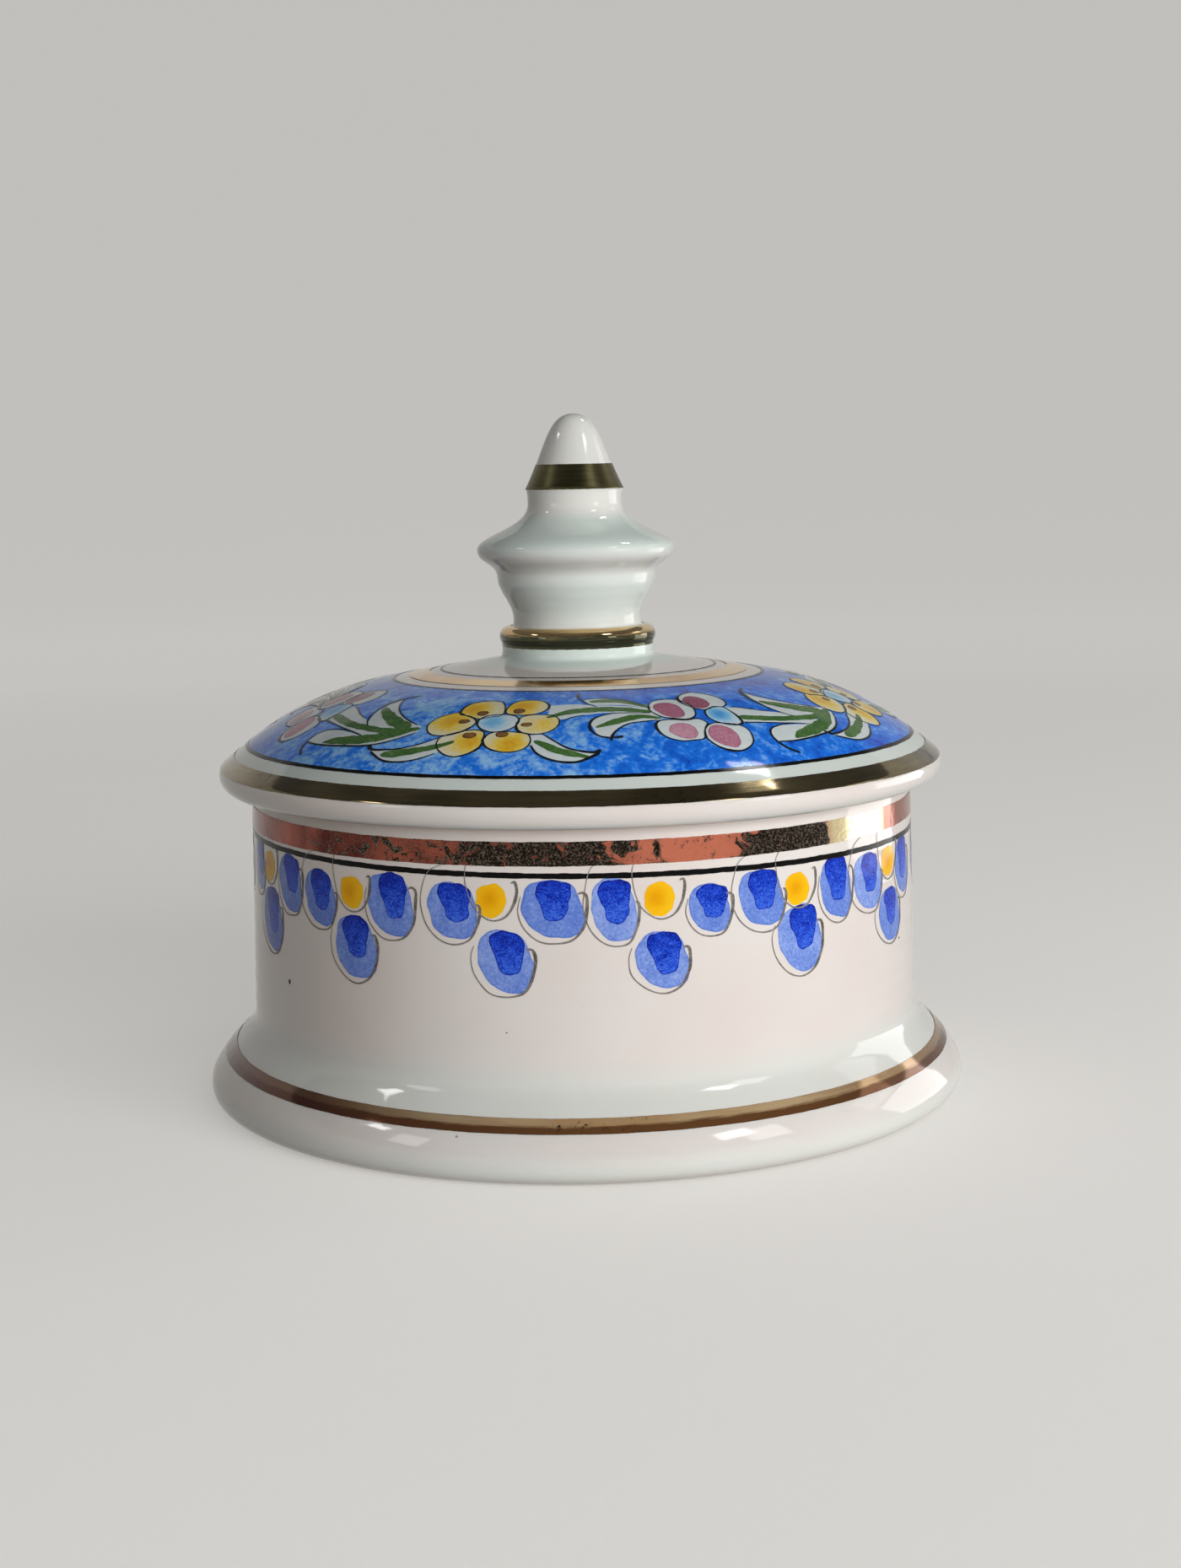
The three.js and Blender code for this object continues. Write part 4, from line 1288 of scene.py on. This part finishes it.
PINK_SPRAY_LINES = [
    [(46.4, 33.4, 0.25), (44.4, 34.2, 0.6), (42.7, 35.6, 0.85), (41.9, 37.4, 0.8), (41.9, 39.2, 0.6),
     (42.5, 41.0, 0.45), (43.8, 42.6, 0.35), (45.6, 43.9, 0.22)],
    [(43.8, 35.5, 0.3), (45.0, 37.0, 0.32), (47.0, 38.6, 0.3), (50.0, 40.3, 0.28), (53.0, 41.6, 0.28),
     (56.4, 42.8, 0.2)],
    [(33.6, 39.5, 0.25), (36.0, 40.1, 0.28), (39.0, 41.2, 0.28), (42.0, 42.0, 0.22)],
    [(32.4, 43.9, 0.45), (36.0, 44.3, 0.3), (40.0, 44.9, 0.28), (44.0, 45.5, 0.3), (47.0, 46.1, 0.2)],
    [(37.8, 51.0, 0.5), (36.2, 50.0, 0.6), (35.3, 48.6, 0.5), (35.4, 47.1, 0.4), (36.5, 46.0, 0.35),
     (38.4, 45.5, 0.3), (41.0, 45.3, 0.25), (44.0, 45.5, 0.2)],
    [(35.6, 48.6, 0.3), (38.4, 48.8, 0.35), (42.0, 48.7, 0.4), (46.0, 48.4, 0.42), (50.0, 48.0, 0.4),
     (53.0, 47.2, 0.35), (55.8, 45.8, 0.28), (57.6, 44.6, 0.2)],
]
YELLOW_SPRAY_LEAVES = [
    ([(15.6, 38.0), (13.6, 36.3), (11.0, 34.9), (7.4, 33.9), (4.2, 33.6), (1.3, 33.9)], [(15.6, 38.4),
      (12.0, 37.0), (8.0, 36.3), (5.0, 36.2), (2.8, 35.9), (1.4, 34.6)]),
    ([(15.4, 38.2), (12.0, 37.2), (8.0, 36.6), (3.0, 36.2), (-1.0, 35.7), (-4.0, 35.8), (-6.4, 36.2)],
     [(15.4, 39.8), (11.0, 39.3), (6.0, 38.9), (2.0, 39.3), (-1.0, 39.8), (-3.4, 40.6), (-6.6, 40.4)]),
    ([(15.6, 39.6), (12.0, 39.3), (8.2, 39.2), (5.0, 39.6), (3.0, 40.6), (2.0, 41.8)], [(16.4, 41.6),
      (12.6, 41.9), (9.6, 42.3), (7.4, 43.4), (5.8, 45.2), (3.2, 44.8)]),
    ([(-22.0, 45.0), (-25.6, 45.6), (-28.2, 46.9), (-31.0, 47.9), (-34.4, 48.4), (-37.6, 48.6)],
     [(-22.0, 47.4), (-24.8, 48.7), (-27.0, 49.8), (-30.0, 50.5), (-33.6, 50.4), (-37.2, 49.0)]),
    ([(-9.0, 44.6), (-6.6, 44.6), (-4.4, 46.1), (-2.0, 47.4), (0.4, 48.1), (3.0, 48.3)], [(-9.0, 46.0),
      (-7.6, 48.0), (-5.6, 49.2), (-3.2, 49.9), (-0.6, 50.0), (2.8, 48.6)]),
]
YELLOW_SPRAY_VEINS = [
    [(2.4, 34.9, 0.6), (5.0, 34.7, 1.2), (8.4, 34.8, 1.3), (11.0, 35.4, 1.2), (13.8, 36.8, 1.0),
     (15.6, 38.0, 0.5)],
    [(-6.7, 40.1, 0.4), (-4.6, 39.3, 1.0), (-2.0, 38.4, 1.4), (1.0, 38.0, 1.6), (5.0, 37.8, 1.6),
     (9.0, 38.0, 1.4), (12.0, 38.5, 1.2), (15.2, 39.3, 0.7)],
    [(3.0, 43.0, 0.3), (5.0, 42.3, 1.0), (7.4, 41.5, 1.4), (10.4, 40.7, 1.4), (13.0, 40.5, 1.1),
     (16.4, 41.3, 0.4)],
    [(-22.4, 46.2, 0.6), (-25.0, 47.3, 1.0), (-29.0, 48.4, 1.3), (-32.0, 49.0, 1.5), (-34.8, 49.4, 1.0)],
    [(-8.0, 45.9, 0.5), (-6.2, 46.7, 1.1), (-4.0, 47.8, 1.2), (-1.6, 48.5, 1.1), (1.6, 49.3, 0.4)],
]
YELLOW_SPRAY_LINES = [
    [(0.0, 30.6, 0.35), (-0.2, 32.4, 0.55), (0.5, 34.0, 0.4), (2.0, 35.7, 0.3), (4.0, 36.9, 0.2)],
    [(1.2, 33.9, 0.2), (4.2, 33.5, 0.25), (7.6, 33.8, 0.25), (11.2, 34.8, 0.25), (14.6, 36.8, 0.25)],
    [(14.8, 39.6, 0.2), (11.0, 39.3, 0.25), (7.6, 39.2, 0.3), (4.6, 39.8, 0.4), (2.6, 40.9, 0.5),
     (1.9, 42.4, 0.55), (2.3, 44.0, 0.45), (3.8, 45.2, 0.4), (5.8, 45.5, 0.45), (7.7, 45.3, 0.85)],
    [(5.4, 46.2, 0.6), (5.9, 44.9, 0.5), (7.4, 43.4, 0.4), (9.6, 42.3, 0.35), (12.6, 41.9, 0.3),
     (15.4, 41.7, 0.25)],
    [(-25.8, 45.4, 0.22), (-28.2, 46.8, 0.3), (-31.0, 47.9, 0.32), (-34.6, 48.5, 0.4), (-37.6, 48.6, 0.6),
     (-38.8, 47.8, 0.9)],
    [(-24.6, 48.7, 0.25), (-27.0, 49.8, 0.32), (-30.0, 50.5, 0.35), (-33.6, 50.4, 0.38),
     (-37.4, 49.0, 0.4)],
    [(-6.8, 44.3, 0.25), (-4.4, 46.0, 0.32), (-2.2, 47.4, 0.38), (0.0, 48.1, 0.45), (2.2, 48.4, 0.6),
     (3.5, 48.0, 0.95)],
    [(-8.4, 46.8, 0.35), (-7.4, 48.2, 0.4), (-5.6, 49.3, 0.42), (-3.2, 50.0, 0.45), (-0.6, 50.1, 0.5),
     (1.4, 49.4, 0.6), (3.2, 48.5, 0.7)],
    [(-3.6, 41.2, 0.2), (-1.4, 40.1, 0.25), (1.0, 39.5, 0.2)],
]

for flowers, next_flowers, leaves, veins, lines in (
        (PINK_FLOWERS, YELLOW_FLOWERS, PINK_SPRAY_LEAVES, PINK_SPRAY_VEINS, PINK_SPRAY_LINES),
        (YELLOW_FLOWERS, PINK_FLOWERS, YELLOW_SPRAY_LEAVES, YELLOW_SPRAY_VEINS, YELLOW_SPRAY_LINES)):
    measured_gap = min((other - flowers[0]) % 360 for other in next_flowers)
    for middle in flowers:
        gap = min((other - middle) % 360 for other in next_flowers)
        spread = (middle - flowers[0], gap / measured_gap, flowers[0])
        for one_edge, other_edge in leaves:
            reserves.leaf(moved(one_edge, *spread), moved(other_edge, *spread))
        for vein in veins:
            greens.stroke(moved(vein, *spread), chance.randrange(1000), tone=0.6, press=-0.1, rows=5)
        for line in lines:
            thinner = [(angle, mark, width * OUTLINE_PRESS) for angle, mark, width in line]
            outlines.stroke(moved(thinner, *spread), chance.randrange(1000), tone=0.5, press=0.3)

reserves.lay("lid_reserves", RESERVE_LIFT, brushed("reserve_white", RESERVE_WHITE, 1.2, 0.4, 4.0))
yellows.lay("lid_petals_yellow", PETAL_LIFT, brushed("petal_yellow", PETAL_YELLOW, 0.6, 0.4, 1.6))
pinks.lay("lid_petals_pink", PETAL_LIFT, brushed("petal_pink", PETAL_PINK, 0.4, 0.45, 2.0))
blues.lay("lid_flower_hearts", FLOWER_HEART_LIFT, brushed("heart_blue", HEART_BLUE, 0.8, 0.25, 2.0))
greens.lay("lid_leaf_veins", VEIN_LIFT, brushed("leaf_green", LEAF_GREEN, 0.5, 0.45, 3.0))
seeds.lay("lid_flower_seeds", SEED_LIFT, brushed("seed_brown", SEED_BROWN, 0.5, 0.5, 1.5))
outlines.lay("lid_outlines", OUTLINE_LIFT, brushed("outline_dark", OUTLINE_DARK, 0.4, 0.3, 2.0))


# Knob
# A slip-cast finial, hollow below, joined to the collar with slip: a bead at its foot, a waisted
# stem with faint turning rings, an undercut cap, a neck, and a lipped point.
BEAD_RADIUS = 12.3
BEAD_HEIGHT = 3.1
BEAD_ROUNDING = 1.55
BEAD_START_ANGLE = -40
BEAD_END_ANGLE = 80
WAIST_RADIUS = 10.1
WAIST_HEIGHT = 4.3
STEM_TOP_RADIUS = 12.5
STEM_TOP_HEIGHT = 10.9
STEM_FLARE_PULL = 2.3
CAP_RADIUS = 15.55
CAP_HEIGHT = 15.1
CAP_UNDERSIDE_PULL = 2.1
CAP_TOP_PULL = 2.5
NECK_RADIUS = 7.4
NECK_HEIGHT = 22.2
NECK_PULL = 3.9
FINIAL_LIP_RADIUS = 7.7
FINIAL_LIP_HEIGHT = 24.4
FINIAL_SIDE_RADIUS = 4.4
FINIAL_SIDE_HEIGHT = 30.9
FINIAL_TIP_ROUNDNESS = 4.1
FINIAL_TIP_HEIGHT = 36.1
KNOB_BORE_RADIUS = 5.2
KNOB_BORE_DEPTH = 15.0
KNOB_BASE = JAR_HEIGHT + COLLAR_HEIGHT
STEM_RING_DEPTH = 0.012
STEM_RING_SPACING = 1.55
KNOB_POINT_GAP = 0.3
KNOB_SEGMENTS = 192

bead = arc(
    BEAD_RADIUS - BEAD_ROUNDING, BEAD_HEIGHT - BEAD_ROUNDING, BEAD_ROUNDING, BEAD_ROUNDING,
    BEAD_START_ANGLE, BEAD_END_ANGLE, 20)
bead_top = bead[-1]
bead_corner = (WAIST_RADIUS, bead_top[1])
waist = (WAIST_RADIUS, WAIST_HEIGHT)
stem_top = (STEM_TOP_RADIUS, STEM_TOP_HEIGHT)
cap = (CAP_RADIUS, CAP_HEIGHT)
neck = (NECK_RADIUS, NECK_HEIGHT)
lip = (FINIAL_LIP_RADIUS, FINIAL_LIP_HEIGHT)
tip = (0, FINIAL_TIP_HEIGHT)


def above(point, rise):
    """A pull straight up from a point, or down if the rise is negative."""
    return (point[0], point[1] + rise)


knob_outside = [
    (COLLAR_RADIUS, 0),
    *bead,
    *sweep(bead_top, bead_corner, bead_corner, waist, 8),
    *sweep(waist, above(waist, STEM_FLARE_PULL), above(stem_top, -STEM_FLARE_PULL), stem_top, 30),
    *sweep(stem_top, above(stem_top, CAP_UNDERSIDE_PULL), above(cap, -CAP_UNDERSIDE_PULL), cap, 24),
    *sweep(cap, above(cap, CAP_TOP_PULL), above(neck, -NECK_PULL), neck, 40),
    *sweep(neck, (NECK_RADIUS, FINIAL_LIP_HEIGHT), lip, lip, 8),
    *sweep(lip, (FINIAL_SIDE_RADIUS, FINIAL_SIDE_HEIGHT), (FINIAL_TIP_ROUNDNESS, FINIAL_TIP_HEIGHT), tip, 48),
]
knob_profile = [
    *arc(0, KNOB_BORE_DEPTH - KNOB_BORE_RADIUS, KNOB_BORE_RADIUS, KNOB_BORE_RADIUS, 90, 0, 12),
    (KNOB_BORE_RADIUS, 0),
    *knob_outside,
]


def turned_knob(turns, height):
    """Faint turning rings on the stem, in millimetres."""
    on_stem = between(height, WAIST_HEIGHT + 0.5, STEM_TOP_HEIGHT, 1.0)
    return STEM_RING_DEPTH * on_stem * np.sin(2 * math.pi * height / STEM_RING_SPACING) + 0 * turns


knob = turned(
    "knob_shell", [(r, z + KNOB_BASE) for r, z in filled(knob_profile, KNOB_POINT_GAP)], KNOB_SEGMENTS,
    lambda turns, height: turned_knob(turns, height - KNOB_BASE))
crisp(knob)
radius, height = where(knob)
carry(knob, "bare", 0 * radius)
on_stem = between(height, KNOB_BASE + WAIST_HEIGHT, KNOB_BASE + STEM_TOP_HEIGHT, 3)
on_cap = between(height, KNOB_BASE + CAP_HEIGHT, KNOB_BASE + NECK_HEIGHT - 2, 2)
carry(knob, "thick", 0.45 + 0.4 * on_stem + 0.55 * on_cap)
knob.data.materials.append(white_glaze("knob_white_glaze").material)
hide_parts("lid_knob")
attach(knob, "lid")


# Gilding of the knob
# The bead and the foot of the point carry lustre too, brushed on as the lid turned. The lower half of the
# bead's is darkened with painted shade, and the point's is thin, dull and olive, with a painted shine at
# grazing angles.
BEAD_GOLD_START = 0.05
BEAD_GOLD_PAST_TOP = 0.5
POINT_GOLD_HEIGHT = 28.3
KNOB_GOLD_LIFT = 0.05
KNOB_GOLD_COLUMNS = 480
BEAD_GOLD = ("#ecd0a0", "#d0ab76")
BEAD_GOLD_SHADED_UNDERSIDE = "#4c4d3c"
# The bead's dark lower-half colour is painted shade.
POINT_GOLD = ("#6c6547", "#47452f")

knob_side = Side(knob_outside, turned_knob, "lid", "knob_glaze", KNOB_BASE)
bead_lustre = lustre("bead_lustre", BEAD_GOLD, wear=0.05, frayed=0.0, under=BEAD_GOLD_SHADED_UNDERSIDE)
band(
    "knob_gilt_bead", knob_side, BEAD_GOLD_START, knob_side.run_at(*bead_top) + BEAD_GOLD_PAST_TOP,
    bead_lustre, KNOB_GOLD_LIFT, ragged=0.03, seed=81, columns=KNOB_GOLD_COLUMNS, rows=16)
point_low = knob_side.run_at(*lip)
point_high = float(knob_side.run[(knob_side.height < POINT_GOLD_HEIGHT) & (knob_side.run > point_low)][-1])
# The point's lustre gets a painted shine of its bright colour at grazing angles.
point_lustre = lustre("point_lustre", POINT_GOLD, frayed=0.0, glow=0.4, rough=0.34)
band(
    "knob_gilt_point", knob_side, point_low, point_high, point_lustre, KNOB_GOLD_LIFT,
    ragged=0.02, seed=91, columns=KNOB_GOLD_COLUMNS, rows=10)
